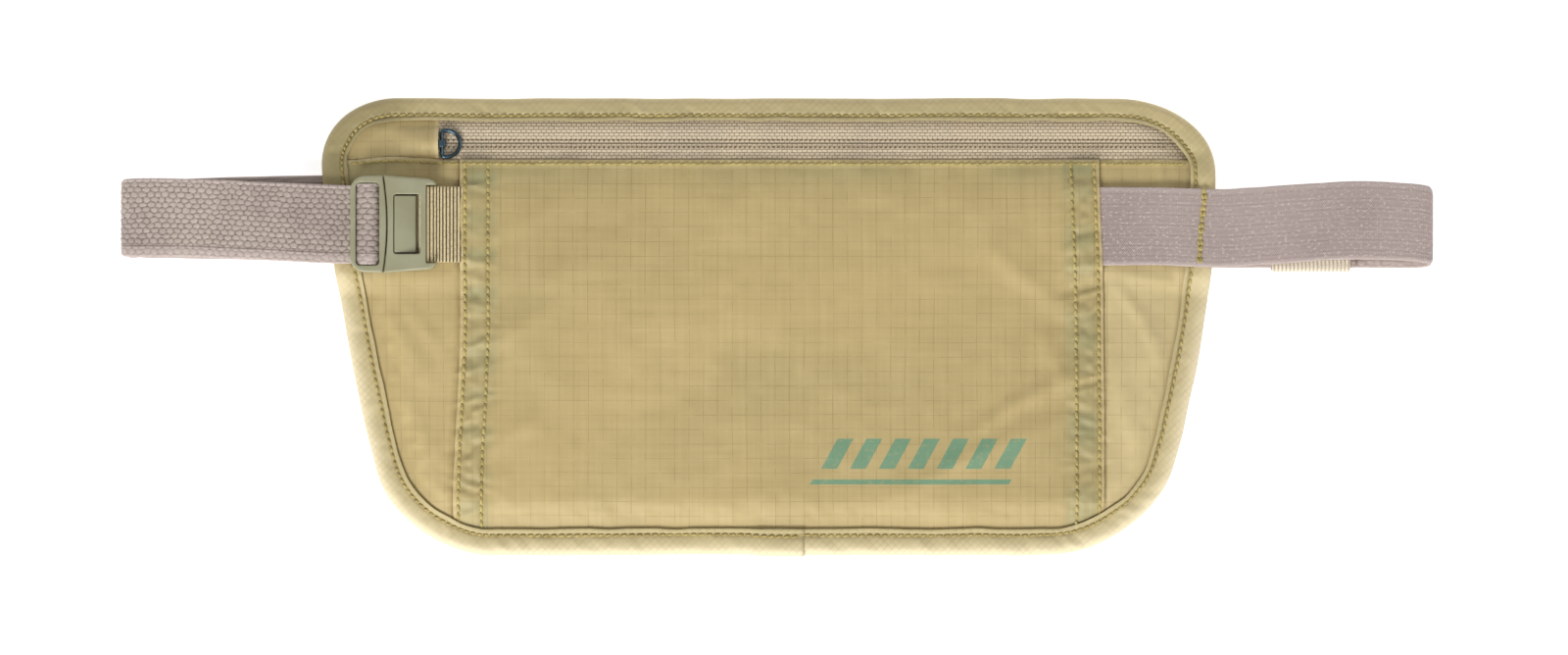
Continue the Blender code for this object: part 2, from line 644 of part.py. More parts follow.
def build_straps(elastic, keeper_cloth):
    deck = BUCKLE_Z
    rear = [
        (170.0, 31.2, 1.7), (154.0, 31.2, 1.7), (150.5, 31.2, 1.6), (146.0, 31.2, 1.1), (141.5, 31.3, 0.65),
        (138.0, 31.4, 0.6), (60.0, 32.0, 0.6), (-40.0, 32.9, 0.6), (STRAP_SPLIT_X, 33.4, 0.6),
    ]
    fold = [
        (SEAM_RIGHT_X + GAP, 32.0, 8.9), (112.0, 32.0, 8.9), (121.0, 32.0, 8.9), (132.0, 31.6, 8.75),
        (142.0, 31.4, 8.5), (158.0, 32.2, 7.9), (180.0, 33.4, 7.1), (197.0, 33.0, 6.5), (205.0, 32.6, 6.0),
        (208.1, 32.2, 5.0), (208.9, 31.8, 3.85), (208.1, 31.5, 2.7), (205.0, 31.2, 1.8), (199.0, 31.2, 1.7),
    ]
    ribbon("waist_strap", elastic, fold + rear, STRAP_WIDTH, STRAP_THICK)
    tail = [(186.0, 31.2, 1.7), *rear]
    tail = [(x, y, z + STRAP_THICK + GAP) for x, y, z in tail]
    ribbon("strap_tail", elastic, tail, STRAP_WIDTH, STRAP_THICK)
    split = STRAP_SPLIT_X - GAP
    left = [
        (split, 33.4, 0.6), (-120.0, 34.3, 0.6), (-150.0, 34.9, 0.6), (-190.0, 34.8, 0.6), (-203.0, 34.6, 0.75),
        (-207.6, 34.6, 1.9), (-208.9, 34.6, 3.9), (-207.9, 34.6, 6.0), (-204.0, 34.6, 7.7), (-190.0, 34.4, 8.9),
        (-165.0, 33.6, 9.9), (-145.0, 32.8, deck + 2.0), (-137.0, BUCKLE_Y, deck + 2.0),
        (-134.6, BUCKLE_Y, deck + 2.0),
        (-133.2, BUCKLE_Y, deck + 2.35), (-132.45, BUCKLE_Y, deck + 3.2), (-132.2, BUCKLE_Y, deck + 4.2),
        (-131.4, BUCKLE_Y, deck + 4.95), (-130.1, BUCKLE_Y, deck + 5.15), (-128.8, BUCKLE_Y, deck + 4.95),
        (-128.0, BUCKLE_Y, deck + 4.2), (-127.75, BUCKLE_Y, deck + 2.8), (-128.3, BUCKLE_Y, deck + 1.3),
        (-130.0, BUCKLE_Y, deck + 0.65), (-137.0, BUCKLE_Y, deck + 0.5), (-145.0, 32.8, deck + 0.4),
        (-165.0, 33.6, 8.2), (-190.0, 34.4, 7.2), (-202.5, 34.6, 6.1), (-205.6, 34.6, 5.1), (-206.6, 34.6, 3.9),
        (-205.6, 34.6, 2.8), (-202.5, 34.6, 2.2), (-190.0, 34.8, 2.1), (-150.0, 34.9, 2.1), (-120.0, 34.3, 2.1),
        (split, 33.4, 2.1),
    ]
    ribbon("strap_loop_left", elastic, left, STRAP_WIDTH, STRAP_THICK)
    build_keeper(keeper_cloth)


def build_keeper(cloth):
    """Elastic sleeve round the strap and its loose end."""
    low = KEEPER_Y - KEEPER_HALF_WIDTH
    high = KEEPER_Y + KEEPER_HALF_WIDTH
    outer = rounded([(low, 0.0, 1.6), (high, 0.0, 1.6), (high, KEEPER_HEIGHT, 1.6), (low, KEEPER_HEIGHT, 1.6)])
    keeper = plate("strap_keeper", cloth, outer, KEEPER_X, plane="YZ")
    wall = KEEPER_WALL
    room = box(
        "keeper_space", None, (KEEPER_X[0] - 5.0, KEEPER_X[1] + 5.0),
        (low + wall, high - wall), (wall, KEEPER_HEIGHT - wall),
    )
    boolean(keeper, cutter(room), "DIFFERENCE")


clear_scene()
BELT = collection("money_belt")
CUTTERS = collection("cutters", hidden=True)

RIPSTOP = material("ripstop", (0.52, 0.42, 0.21), 0.75)
BIAS_TAPE = material("bias_tape", (0.50, 0.41, 0.20), 0.75)
ZIP_TAPE = material("zip_tape", (0.45, 0.37, 0.25), 0.85)
COIL = material("zip_coil", (0.40, 0.34, 0.22), 0.5)
GUNMETAL = material("gunmetal", (0.12, 0.14, 0.15), 0.3, 1.0)
PLASTIC = material("buckle_plastic", (0.36, 0.35, 0.22), 0.4)
GROSGRAIN = material("grosgrain", (0.43, 0.35, 0.19), 0.85)
ELASTIC = material("elastic", (0.38, 0.31, 0.27), 0.9)
KEEPER = material("keeper_elastic", (0.68, 0.61, 0.52), 0.9)

build_panels(RIPSTOP)
build_binding(BIAS_TAPE)
build_zip(ZIP_TAPE, COIL, GUNMETAL, RIPSTOP)
build_housing(PLASTIC)
build_frame(PLASTIC)
build_latch(PLASTIC)
build_tab(GROSGRAIN)
build_straps(ELASTIC, KEEPER)
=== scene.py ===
"""Looks of the money belt: sewn ripstop, bias tape, a coil zip, knitted elastic and moulded plastic.

Lengths are in millimetres in this script and become metres when a mesh is made. X runs along the strap,
Y points to the zip and Z up, out of the pouch's front. The layer heights, the outline and the strap's route
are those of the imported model.
"""

import math

import bmesh
import bpy
import numpy as np
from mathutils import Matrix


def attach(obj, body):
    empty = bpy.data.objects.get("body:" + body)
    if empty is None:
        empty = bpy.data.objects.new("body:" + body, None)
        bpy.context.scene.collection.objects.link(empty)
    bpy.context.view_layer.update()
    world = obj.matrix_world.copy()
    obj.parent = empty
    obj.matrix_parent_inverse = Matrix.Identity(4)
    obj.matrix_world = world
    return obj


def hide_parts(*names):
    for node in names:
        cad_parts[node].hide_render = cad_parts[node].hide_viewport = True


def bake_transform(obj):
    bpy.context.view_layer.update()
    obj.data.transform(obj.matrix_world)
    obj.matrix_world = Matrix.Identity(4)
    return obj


MM = 0.001
FULL_TURN = 2.0 * math.pi

# Pouch outline: x = a + b*y + c*y*y on each side, with elliptical corners (x and y radii).
TOP_Y = 73.0
BOTTOM_Y = -73.0
LEFT_SIDE = (-138.1, -0.182, 0.00075)
RIGHT_SIDE = (136.35, 0.148, -0.0015)
LEFT_CORNERS = {"top": (26.0, 22.0), "bottom": (30.0, 28.0)}
RIGHT_CORNERS = {"top": (31.0, 23.0), "bottom": (32.0, 28.0)}

# Layers. The band is where the strap runs behind the pouch and lifts it.
CLOTH = 0.6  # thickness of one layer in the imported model
GAP = 0.3
SKIN = 0.45  # thickness of one layer of cloth here
TAPE = 0.5  # thickness of the binding, the zip tapes and the patch over the slider
EDGE_SPACE = 1.2
ZIP_RISE = 2.8
FRONT_RISE = 1.0
FLAT_RIM = 5.0  # the front stays flat this far in from the edge, and then rises over RISE_REACH
RISE_REACH = 14.0
BAND_Y = 32.5
BAND_HALF = 14.5
BAND_SHOULDER = 9.0
BAND_LIFT = 3.0
PANEL_INSET = 2.3

# Distances between the points of the cloth meshes.
BACK_STEP = 1.6
FRONT_STEP = 0.75
TAPE_STEP = 0.7
GARAGE_STEP = 0.6

# Binding: the tape's width on each face, its stitches in from the outer edge, and the lap of its ends.
BINDING_WIDTH = 8.5
BINDING_ROW = 6.5
BINDING_STEP = 0.62
BINDING_ROUND = 2.6  # how far in the outer edge is rounded
TOP_NARROWER = 1.1
LAP_X = (-4.0, 9.0)
LAP_RAISE = 0.4

# Seams and stitches.
SEAM_LEFT_X = -103.4
SEAM_RIGHT_X = 104.0
SEAMS = ((SEAM_LEFT_X, 1.0), (SEAM_RIGHT_X, -1.0))  # each folded edge, and the way to the middle panel
SEAM_ROWS = (1.6, 8.9)  # the two rows of stitches, in from the folded edge
HEM_Y = 53.3
HEM_ROW_Y = 51.9
STITCH_PITCH = 2.5
THREAD_LIFT = 0.18  # how far the seams' thread lies above the cloth
SLANT = 0.14  # how far the ends of each stitch stand off the seam's line

# Zip.
ZIP_Y = 58.4
TAPE_LOW_Y = 48.0
TAPE_LEFT_X = -142.0
TAPE_RAISE = 0.35
SLIDER_HALF_WIDTH = 3.4
CHAIN_ROW = 1.15  # the stitches that hold the coils, off the zip's middle
COIL_START_X = -128.0
COIL_PITCH = 1.2
COIL_TURNS = 205
COIL_WIRE = 0.22
GARAGE_RIGHT_X = -107.9
GARAGE_LIFT = 3.1
RING_X = -106.9
RING_HALF_HEIGHT = 4.2
RING_REACH = 6.5
RING_WIRE = 0.62
RING_TILT = math.radians(6.0)

# Strap. Its chunky face is knitted in rows of pillows.
STRAP_WIDTH = 25.0
STRAP_THICK = 1.2
TIP_X = 209.5  # the folds at both ends of the strap, with the radius of their corners
TIP_CORNER = 1.7
PILLOW_HEIGHT = 1.62
PILLOW_LENGTH = 2.5
CELL_SEEDS = ((12.9898, 78.233), (39.346, 11.135), (73.156, 52.235))
GROOVE_V = -8.8  # a groove along the strap, across from its middle
TACK_X = 135.9
TACK_Y = (44.2, 20.4)

# Tab, buckle and keeper.
BUCKLE_Y = 32.6
BUCKLE_Z = 8.3
TAB_RIB = 1.15
KEEPER_X = (158.0, 183.0)
KEEPER_Y = 31.2
KEEPER_HALF_WIDTH = 13.6
KEEPER_HEIGHT = 4.9
KEEPER_CORNER = 1.5
KEEPER_STEP = 0.45
KEEPER_RIB = 1.3
KEEPER_ROW = 1.8

# Stage, in metres.
BACKDROP_RADIUS = 12.0
BACKDROP_HEIGHT = 2.6
FLOOR_GLOW = 0.66
BACKDROP_GLOW = 0.9
CAMERA_PLACE = (0.0022, -0.0002, 0.006)  # the point that the camera looks down on
VIEW_WIDTH = 0.5

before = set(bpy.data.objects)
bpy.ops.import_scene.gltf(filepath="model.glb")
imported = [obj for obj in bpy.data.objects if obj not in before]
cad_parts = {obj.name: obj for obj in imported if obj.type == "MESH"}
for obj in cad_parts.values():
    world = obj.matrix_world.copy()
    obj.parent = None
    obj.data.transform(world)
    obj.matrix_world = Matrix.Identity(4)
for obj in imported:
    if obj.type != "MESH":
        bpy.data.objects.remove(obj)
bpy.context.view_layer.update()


# ---- numbers and lines


def smooth(value):
    """0 below 0, 1 above 1, and a smooth step between."""
    t = np.clip(value, 0.0, 1.0)
    return t * t * (3.0 - 2.0 * t)


def bell(value, width):
    """1 at 0, and close to 0 from two widths away."""
    return np.exp(-((value / width) ** 2))


def noise(x, y, scale, seed):
    """Smooth noise from -1 to 1 with features about scale wide."""
    lattice = np.random.default_rng(seed).uniform(-1.0, 1.0, (64, 64))
    u = np.asarray(x) / scale + 20.3
    v = np.asarray(y) / scale + 31.7
    column = np.floor(u).astype(int)
    row = np.floor(v).astype(int)
    u = smooth(u - column)
    v = smooth(v - row)

    def corner(i, j):
        return lattice[(row + j) % 64, (column + i) % 64]

    low = corner(0, 0) * (1.0 - u) + corner(1, 0) * u
    high = corner(0, 1) * (1.0 - u) + corner(1, 1) * u
    return low * (1.0 - v) + high * v


def unit(vectors):
    return vectors / np.linalg.norm(vectors, axis=1, keepdims=True)


def lengths_along(line):
    """Length run up to each point of a line."""
    return np.concatenate([[0.0], np.cumsum(np.linalg.norm(np.diff(line, axis=0), axis=1))])


def points_at(line, run, at):
    """Points of a line at the lengths in at, where run holds its own points' lengths."""
    return np.stack([np.interp(at, run, line[:, k]) for k in range(line.shape[1])], axis=1)


def resample(line, step):
    """Points at even steps along a line of points."""
    run = lengths_along(line)
    return points_at(line, run, np.linspace(0.0, run[-1], max(int(round(run[-1] / step)), 1) + 1))


def outward_normals(loop):
    """Normals of a closed anticlockwise loop of flat points."""
    ahead = unit(np.roll(loop, -1, axis=0) - np.roll(loop, 1, axis=0))
    return np.stack([ahead[:, 1], -ahead[:, 0]], axis=1)


def upward_normals(centre):
    """Normals of a line that runs in x and z, on its left side when seen from the front (from -y)."""
    ahead = np.gradient(centre, axis=0)
    return unit(np.stack([-ahead[:, 2], 0.0 * ahead[:, 1], ahead[:, 0]], axis=1))


def curve_through(points, steps):
    """Points on a centripetal Catmull-Rom curve through the given ones."""
    points = np.asarray(points, float)
    padded = np.concatenate([[2 * points[0] - points[1]], points, [2 * points[-1] - points[-2]]])
    curve = []
    for level in zip(padded, padded[1:], padded[2:], padded[3:]):
        knots = np.cumsum([0.0] + [np.linalg.norm(b - a) ** 0.5 for a, b in zip(level, level[1:])])
        t = np.linspace(knots[1], knots[2], steps, endpoint=False)[:, None]
        for spans in (((0, 1), (1, 2), (2, 3)), ((0, 2), (1, 3)), ((1, 2),)):
            level = [
                ((knots[j] - t) * a + (t - knots[i]) * b) / (knots[j] - knots[i])
                for (i, j), a, b in zip(spans, level, level[1:])
            ]
        curve.append(level[0])
    return np.concatenate([*curve, points[-1:]])


# ---- outline and layer heights


def corner_shift(y, corners, inset):
    """How far a rounded corner pulls the side in at height y."""
    shift = 0.0
    for end_y, (radius_x, radius_y), toward in (
        (TOP_Y - inset, corners["top"], 1.0),
        (BOTTOM_Y + inset, corners["bottom"], -1.0),
    ):
        depth = np.maximum(toward * (end_y - y), 0.0)
        share = np.clip((radius_y - inset - depth) / (radius_y - inset), 0.0, 1.0)
        shift = shift + (radius_x - inset) * (1.0 - np.sqrt(1.0 - share * share))
    return shift


def left_edge(y, inset=0.0):
    a, b, c = LEFT_SIDE
    return a + b * y + c * y * y + inset + corner_shift(y, LEFT_CORNERS, inset)


def right_edge(y, inset=0.0):
    a, b, c = RIGHT_SIDE
    return a + b * y + c * y * y - inset - corner_shift(y, RIGHT_CORNERS, inset)


def panel_left(y):
    return left_edge(y, PANEL_INSET)


def panel_right(y):
    return right_edge(y, PANEL_INSET)


def band(y):
    """1 over the strap behind the pouch, 0 clear of it."""
    return 1.0 - smooth((np.abs(y - BAND_Y) - BAND_HALF) / BAND_SHOULDER)


def back_z(y):
    """Underside of the back panel."""
    return CLOTH + GAP + BAND_LIFT * band(y)


def well_in(distance):
    """0 near the pouch's edge, 1 well in from it."""
    return smooth((distance - FLAT_RIM) / RISE_REACH)


def front_z(x, y):
    """Underside of the front panels."""
    y = np.clip(y, BOTTOM_Y, TOP_Y)
    sides = well_in(x - left_edge(y)) * well_in(right_edge(y) - x)
    rise = ZIP_RISE * smooth((TOP_Y - 1.5 - y) / 9.5) + FRONT_RISE * smooth((50.0 - y) / 10.0)
    rise = rise * sides * well_in(y - BOTTOM_Y)
    lift = BAND_LIFT * band(y) * (1.0 - 0.7 * rise / (ZIP_RISE + FRONT_RISE))
    return CLOTH + GAP + CLOTH + EDGE_SPACE + rise + lift


def dense_outline(step):
    """The pouch's outline at even steps, anticlockwise from the middle of the bottom edge."""
    turn = (1.0 - np.cos(np.linspace(0.0, math.pi, 1500))) / 2.0
    rows = BOTTOM_Y + (TOP_Y - BOTTOM_Y) * turn
    right = np.stack([right_edge(rows), rows], axis=1)
    left = np.stack([left_edge(rows), rows], axis=1)[::-1]
    middle = [[0.0, BOTTOM_Y]]
    line = np.concatenate([middle, right, left, middle])
    run = lengths_along(line)
    return points_at(line, run, np.linspace(0.0, run[-1], int(run[-1] / step), endpoint=False))


OUTLINE = dense_outline(1.0)


def edge_distance(x, y):
    """Distance in from the pouch's outer edge."""
    flat = np.stack([np.ravel(x), np.ravel(y)], axis=1).astype(np.float32)
    line = OUTLINE.astype(np.float32)
    nearest = np.empty(len(flat), np.float32)
    batch = 4000
    for start in range(0, len(flat), batch):
        part = flat[start:start + batch]
        gaps = (part[:, None, 0] - line[None, :, 0]) ** 2 + (part[:, None, 1] - line[None, :, 1]) ** 2
        nearest[start:start + batch] = np.sqrt(gaps.min(axis=1))
    return nearest.reshape(np.shape(x)).astype(float)


# ---- mesh helpers


def new_object(name, vertices, faces, mat, flat=None, tone=None):
    """A mesh from points in mm. flat holds a (u, v, side) triple for each point, in mm, and tone three
    shares that tint it.
    """
    mesh = bpy.data.meshes.new(name)
    mesh.from_pydata((np.asarray(vertices) * MM).tolist(), [], faces)
    for label, values in (("flat", flat), ("tone", tone)):
        if values is not None:
            attribute = mesh.attributes.new(label, "FLOAT_VECTOR", "POINT")
            attribute.data.foreach_set("vector", np.asarray(values, np.float32).ravel())
    bm = bmesh.new()
    bm.from_mesh(mesh)
    bmesh.ops.recalc_face_normals(bm, faces=bm.faces)
    bm.to_mesh(mesh)
    bm.free()
    mesh.shade_smooth()
    mesh.set_sharp_from_angle(angle=math.radians(50))
    mesh.materials.append(mat)
    obj = bpy.data.objects.new(name, mesh)
    bpy.context.scene.collection.objects.link(obj)
    return obj


def grid_faces(rows, columns, offset=0, wrap_rows=False, wrap_columns=False):
    """Four-sided faces of a grid of points, joined round where wrap is set."""
    index = offset + np.arange(rows * columns).reshape(rows, columns)
    if wrap_rows:
        index = np.concatenate([index, index[:1]])
    if wrap_columns:
        index = np.concatenate([index, index[:, :1]], axis=1)
    quads = np.stack([index[:-1, :-1], index[:-1, 1:], index[1:, 1:], index[1:, :-1]], axis=-1)
    return quads.reshape(-1, 4).tolist()


def panel_grid(x_low, x_high, y_low, y_high, step):
    """Grids of x and y between two edges, each given as a function of y."""
    rows = np.linspace(y_low, y_high, int((y_high - y_low) / step) + 1)
    low = x_low(rows)
    high = x_high(rows)
    columns = int(np.max(high - low) / step) + 1
    share = np.linspace(0.0, 1.0, columns)
    x = low[:, None] + (high - low)[:, None] * share
    return x, np.repeat(rows[:, None], columns, axis=1)


def cloth_sheet(name, mat, x, y, top, bottom, shade=0.0, pale_and_lit=0.0, crease=0.0):
    """A closed sheet of cloth from grids of x, y and the heights of its two faces."""
    rows, columns = x.shape
    upper = np.stack([x, y, top], axis=-1).reshape(-1, 3)
    lower = np.stack([x, y, bottom], axis=-1).reshape(-1, 3)
    count = rows * columns
    faces = grid_faces(rows, columns)
    faces += [face[::-1] for face in grid_faces(rows, columns, count)]
    index = np.arange(count).reshape(rows, columns)
    rim = np.concatenate([index[0, :-1], index[:-1, -1], index[-1, :0:-1], index[:0:-1, 0]])
    following = np.roll(rim, -1)
    faces += np.stack([rim, rim + count, following + count, following], axis=1).tolist()
    # The tone of each point: painted green shade, paleness that is mostly painted light, and painted shade in
    # creases.
    tone = np.stack([tint + np.zeros_like(x) for tint in (shade, pale_and_lit, crease)], axis=-1).reshape(-1, 3)
    return new_object(name, np.concatenate([upper, lower]), faces, mat, tone=np.concatenate([tone, tone]))


def loft(name, mat, rings, flat=None, closed=False, tone=None):
    """A tube through rings of points, with flat ends unless it closes on itself."""
    stations, size = rings.shape[:2]
    faces = grid_faces(stations, size, wrap_rows=closed, wrap_columns=True)
    if not closed:
        faces.append(list(range(size))[::-1])
        faces.append([(stations - 1) * size + k for k in range(size)])
    return new_object(name, rings.reshape(-1, 3), faces, mat, flat, tone)


def thread(name, mat, starts, ends, radius, arch):
    """Stitches from starts to ends: short two-ply threads that arch up and dive in at both ends."""
    around = 8
    sink = 0.2
    swell = np.array([0.5, 0.8, 0.95, 1.0, 1.05, 1.0, 0.95, 0.8, 0.5])
    rings = len(swell)
    share = np.linspace(0.0, 1.0, rings)
    height = np.interp(share, [0.0, 0.18, 0.5, 0.82, 1.0], [-sink, 0.1, arch, 0.1, -sink])
    along = unit(ends - starts)
    across = unit(np.stack([-along[:, 1], along[:, 0], np.zeros(len(along))], axis=1))
    up = np.array([0.0, 0.0, 1.0])
    angle = np.linspace(0.0, FULL_TURN, around, endpoint=False)
    centre = starts[:, None, :] * (1.0 - share)[None, :, None] + ends[:, None, :] * share[None, :, None]
    slant = SLANT * (2.0 * share - 1.0)[None, :, None] * across[:, None, :]
    centre = centre + up * height[None, :, None] + slant
    twist = 1.0 + 0.22 * np.cos(2.0 * (angle[None, :] - 7.0 * share[:, None]))
    reach = radius * swell[:, None] * twist
    side = (reach * np.cos(angle))[None, :, :, None] * across[:, None, None, :]
    rise = (reach * np.sin(angle))[None, :, :, None] * up
    points = centre[:, :, None, :] + side + rise
    faces = []
    cap = list(range(around))
    for i in range(len(starts)):
        base = i * rings * around
        faces += grid_faces(rings, around, base, wrap_columns=True)
        faces.append([base + k for k in cap[::-1]])
        faces.append([base + (rings - 1) * around + k for k in cap])
    return new_object(name, points.reshape(-1, 3), faces, mat)


def stitch_ends(points, share):
    """Starts and ends of stitches between neighbouring points, each a share of their distance long."""
    middle = (points[1:] + points[:-1]) / 2.0
    half = (points[1:] - points[:-1]) / 2.0 * share
    return middle - half, middle + half


def stitch_row(line, surface, lift, pitch=STITCH_PITCH, share=1.03):
    """Stitches along a line of (x, y) points, lifted a little off surface(x, y)."""
    points = resample(line, pitch)
    return stitch_ends(np.column_stack([points, surface(points[:, 0], points[:, 1]) + lift]), share)


def stitches(name, rows, mat, radius=0.46, arch=0.3):
    """One piece of thread for several rows of stitches."""
    starts = np.concatenate([row[0] for row in rows])
    ends = np.concatenate([row[1] for row in rows])
    obj = thread(name, mat, starts, ends, radius, arch)
    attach(obj, "pouch")


def settle(obj, node, body="pouch"):
    """The piece replaces its CAD node, which is hidden, and rides on a body."""
    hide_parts(node)
    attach(obj, body)


# ---- materials


def srgb(red, green, blue):
    """Linear colour from screen values 0 to 255."""
    values = [value / 255.0 for value in (red, green, blue)]
    return tuple(((v + 0.055) / 1.055) ** 2.4 if v > 0.04045 else v / 12.92 for v in values)


class Look:
    """A Principled material, with short calls for its nodes. Lengths are in mm."""

    def __init__(self, name, roughness, metallic=0.0, **sockets):
        self.material = bpy.data.materials.new(name)
        self.material.use_nodes = True
        self.tree = self.material.node_tree
        self.shader = self.tree.nodes["Principled BSDF"]
        self.shader.inputs["Roughness"].default_value = roughness
        self.shader.inputs["Metallic"].default_value = metallic
        for socket, value in sockets.items():
            self.shader.inputs[socket.replace("_", " ")].default_value = value
        self.place = self.node("ShaderNodeTexCoord").outputs["Object"]

    def node(self, kind, settings=None, **inputs):
        made = self.tree.nodes.new(kind)
        for key, value in (settings or {}).items():
            setattr(made, key, value)
        for key, value in inputs.items():
            socket = made.inputs[int(key[1:]) if key[0] == "_" else key.replace("_", " ")]
            if isinstance(value, bpy.types.NodeSocket):
                self.tree.links.new(value, socket)
            else:
                socket.default_value = value
        return made

    def math(self, operation, a, b=0.0):
        return self.node("ShaderNodeMath", {"operation": operation}, _0=a, _1=b).outputs[0]

    def plus(self, a, b):
        return self.math("ADD", a, b)

    def times(self, a, b):
        return self.math("MULTIPLY", a, b)

    def apart(self, value, middle):
        return self.math("ABSOLUTE", self.math("SUBTRACT", value, middle * MM))

    def wave(self, value, length):
        return self.math("SINE", self.times(value, FULL_TURN / (length * MM)))

    def noise(self, place, scale, detail=2.0):
        return self.node("ShaderNodeTexNoise", Vector=place, Scale=scale, Detail=detail).outputs["Fac"]

    def stretch(self, place, factors):
        return self.node("ShaderNodeMapping", Vector=place, Scale=factors).outputs[0]

    def step(self, value, low, high, to_low=0.0, to_high=1.0):
        return self.node(
            "ShaderNodeMapRange", {"interpolation_type": "SMOOTHSTEP"},
            _0=value, _1=low, _2=high, _3=to_low, _4=to_high,
        ).outputs[0]

    def inside(self, value, low, high):
        """1 where value is between two lengths."""
        soft = 0.06 * MM
        above = self.step(value, low * MM - soft, low * MM + soft)
        return self.times(above, self.step(value, high * MM - soft, high * MM + soft, 1.0, 0.0))

    def grid_line(self, value, pitch, width):
        """1 on lines pitch apart and width wide, 0 between them."""
        swing = self.math("PINGPONG", value, pitch * MM / 2.0)
        return self.step(swing, width * MM * 0.35, width * MM, 1.0, 0.0)

    def mix(self, share, a, b):
        a = (*a, 1.0) if isinstance(a, tuple) else a
        b = (*b, 1.0) if isinstance(b, tuple) else b
        return self.node("ShaderNodeMix", {"data_type": "RGBA"}, _0=share, _6=a, _7=b).outputs[2]

    def colour(self, value):
        self.tree.links.new(value, self.shader.inputs["Base Color"])

    def roughness(self, value):
        self.tree.links.new(value, self.shader.inputs["Roughness"])

    def bump(self, height, depth, strength=1.0):
        made = self.node("ShaderNodeBump", Height=height, Distance=depth * MM, Strength=strength)
        self.tree.links.new(made.outputs[0], self.shader.inputs["Normal"])

    def axes(self, place):
        made = self.node("ShaderNodeSeparateXYZ", Vector=place)
        return made.outputs[0], made.outputs[1], made.outputs[2]

    def attribute(self, name):
        return self.node("ShaderNodeAttribute", {"attribute_name": name}).outputs["Vector"]


def ripstop(name, base, tint, dark, green, pale, pitch=4.6, line_shade=0.4, turn=0.0, printed=False):
    """Coated ripstop: a fine plain weave, with a thicker yarn at each line of a grid.

    The tone attribute paints green shade where layers lie on each other, makes it paler, mostly with
    painted light on its folded and backlit edges, and paints dark shade in its creases.
    """
    look = Look(name, 0.55, Sheen_Weight=0.12, Sheen_Roughness=0.4, Specular_IOR_Level=0.45)
    place = look.node("ShaderNodeMapping", Vector=look.place, Rotation=(0.0, 0.0, turn)).outputs[0]
    wander = look.node("ShaderNodeTexNoise", Vector=place, Scale=24.0, Detail=1.0).outputs["Color"]
    moved = look.node(
        "ShaderNodeVectorMath", {"operation": "MULTIPLY_ADD"}, _0=wander, _1=(0.0011,) * 3, _2=place
    ).outputs[0]
    x, y, _z = look.axes(moved)
    yarn = 0.19
    level_lines = look.times(look.grid_line(y, pitch, yarn), 0.75)
    lines = look.math("MAXIMUM", look.grid_line(x, pitch, yarn), level_lines)
    broken = look.step(look.noise(place, 170.0), 0.35, 0.55, 0.25, 1.0)
    patches = look.step(look.noise(place, 16.0), 0.3, 0.6, 0.5, 1.0)
    lines = look.times(lines, look.times(broken, patches))
    upright = look.noise(look.stretch(place, (700.0, 30.0, 30.0)), 1.0, 1.0)
    level = look.noise(look.stretch(place, (30.0, 700.0, 30.0)), 1.0, 1.0)
    streaks = look.plus(upright, level)
    colour = look.mix(look.step(look.noise(look.place, 14.0, 3.0), 0.35, 0.65), base, tint)
    colour = look.mix(look.step(streaks, 0.95, 1.35, 0.0, 0.08), colour, dark)
    colour = look.mix(look.step(streaks, 0.7, 1.0, 0.07, 0.0), colour, pale)
    # Painted light and shade from the tone attribute: green shade, paleness that is mostly painted light, and
    # dark painted shade in creases and under folded edges.
    shade, pale_and_lit, crease = look.axes(look.attribute("tone"))
    colour = look.mix(shade, colour, green)
    colour = look.mix(pale_and_lit, colour, pale)
    colour = look.mix(crease, colour, srgb(112, 94, 52))
    colour = look.mix(look.times(lines, line_shade), colour, dark)
    if printed:
        colour = look.mix(look.times(printed_mark(look), 0.84), colour, srgb(92, 146, 118))
    look.colour(colour)
    weave = look.times(look.wave(x, 0.42), look.wave(y, 0.42))
    height = look.plus(look.times(weave, 0.12), look.times(lines, 0.6))
    look.bump(look.plus(height, look.times(streaks, 0.3)), 0.08, 0.8)
    return look.material


def printed_mark(look):
    """A plain row of slanted bars over a thin line."""
    x, y, _z = look.axes(look.place)
    slant = look.plus(x, look.times(y, -0.55))
    bars = look.step(look.math("PINGPONG", slant, 4.6 * MM), 2.0 * MM, 2.12 * MM)
    length = look.inside(slant, 38.0, 101.5)
    row = look.times(bars, look.times(look.inside(y, -45.2, -35.6), length))
    rule = look.times(look.inside(y, -50.2, -48.6), length)
    worn = look.step(look.noise(look.place, 700.0, 3.0), 0.3, 0.5, 0.75, 1.0)
    return look.times(look.math("MAXIMUM", row, rule), worn)


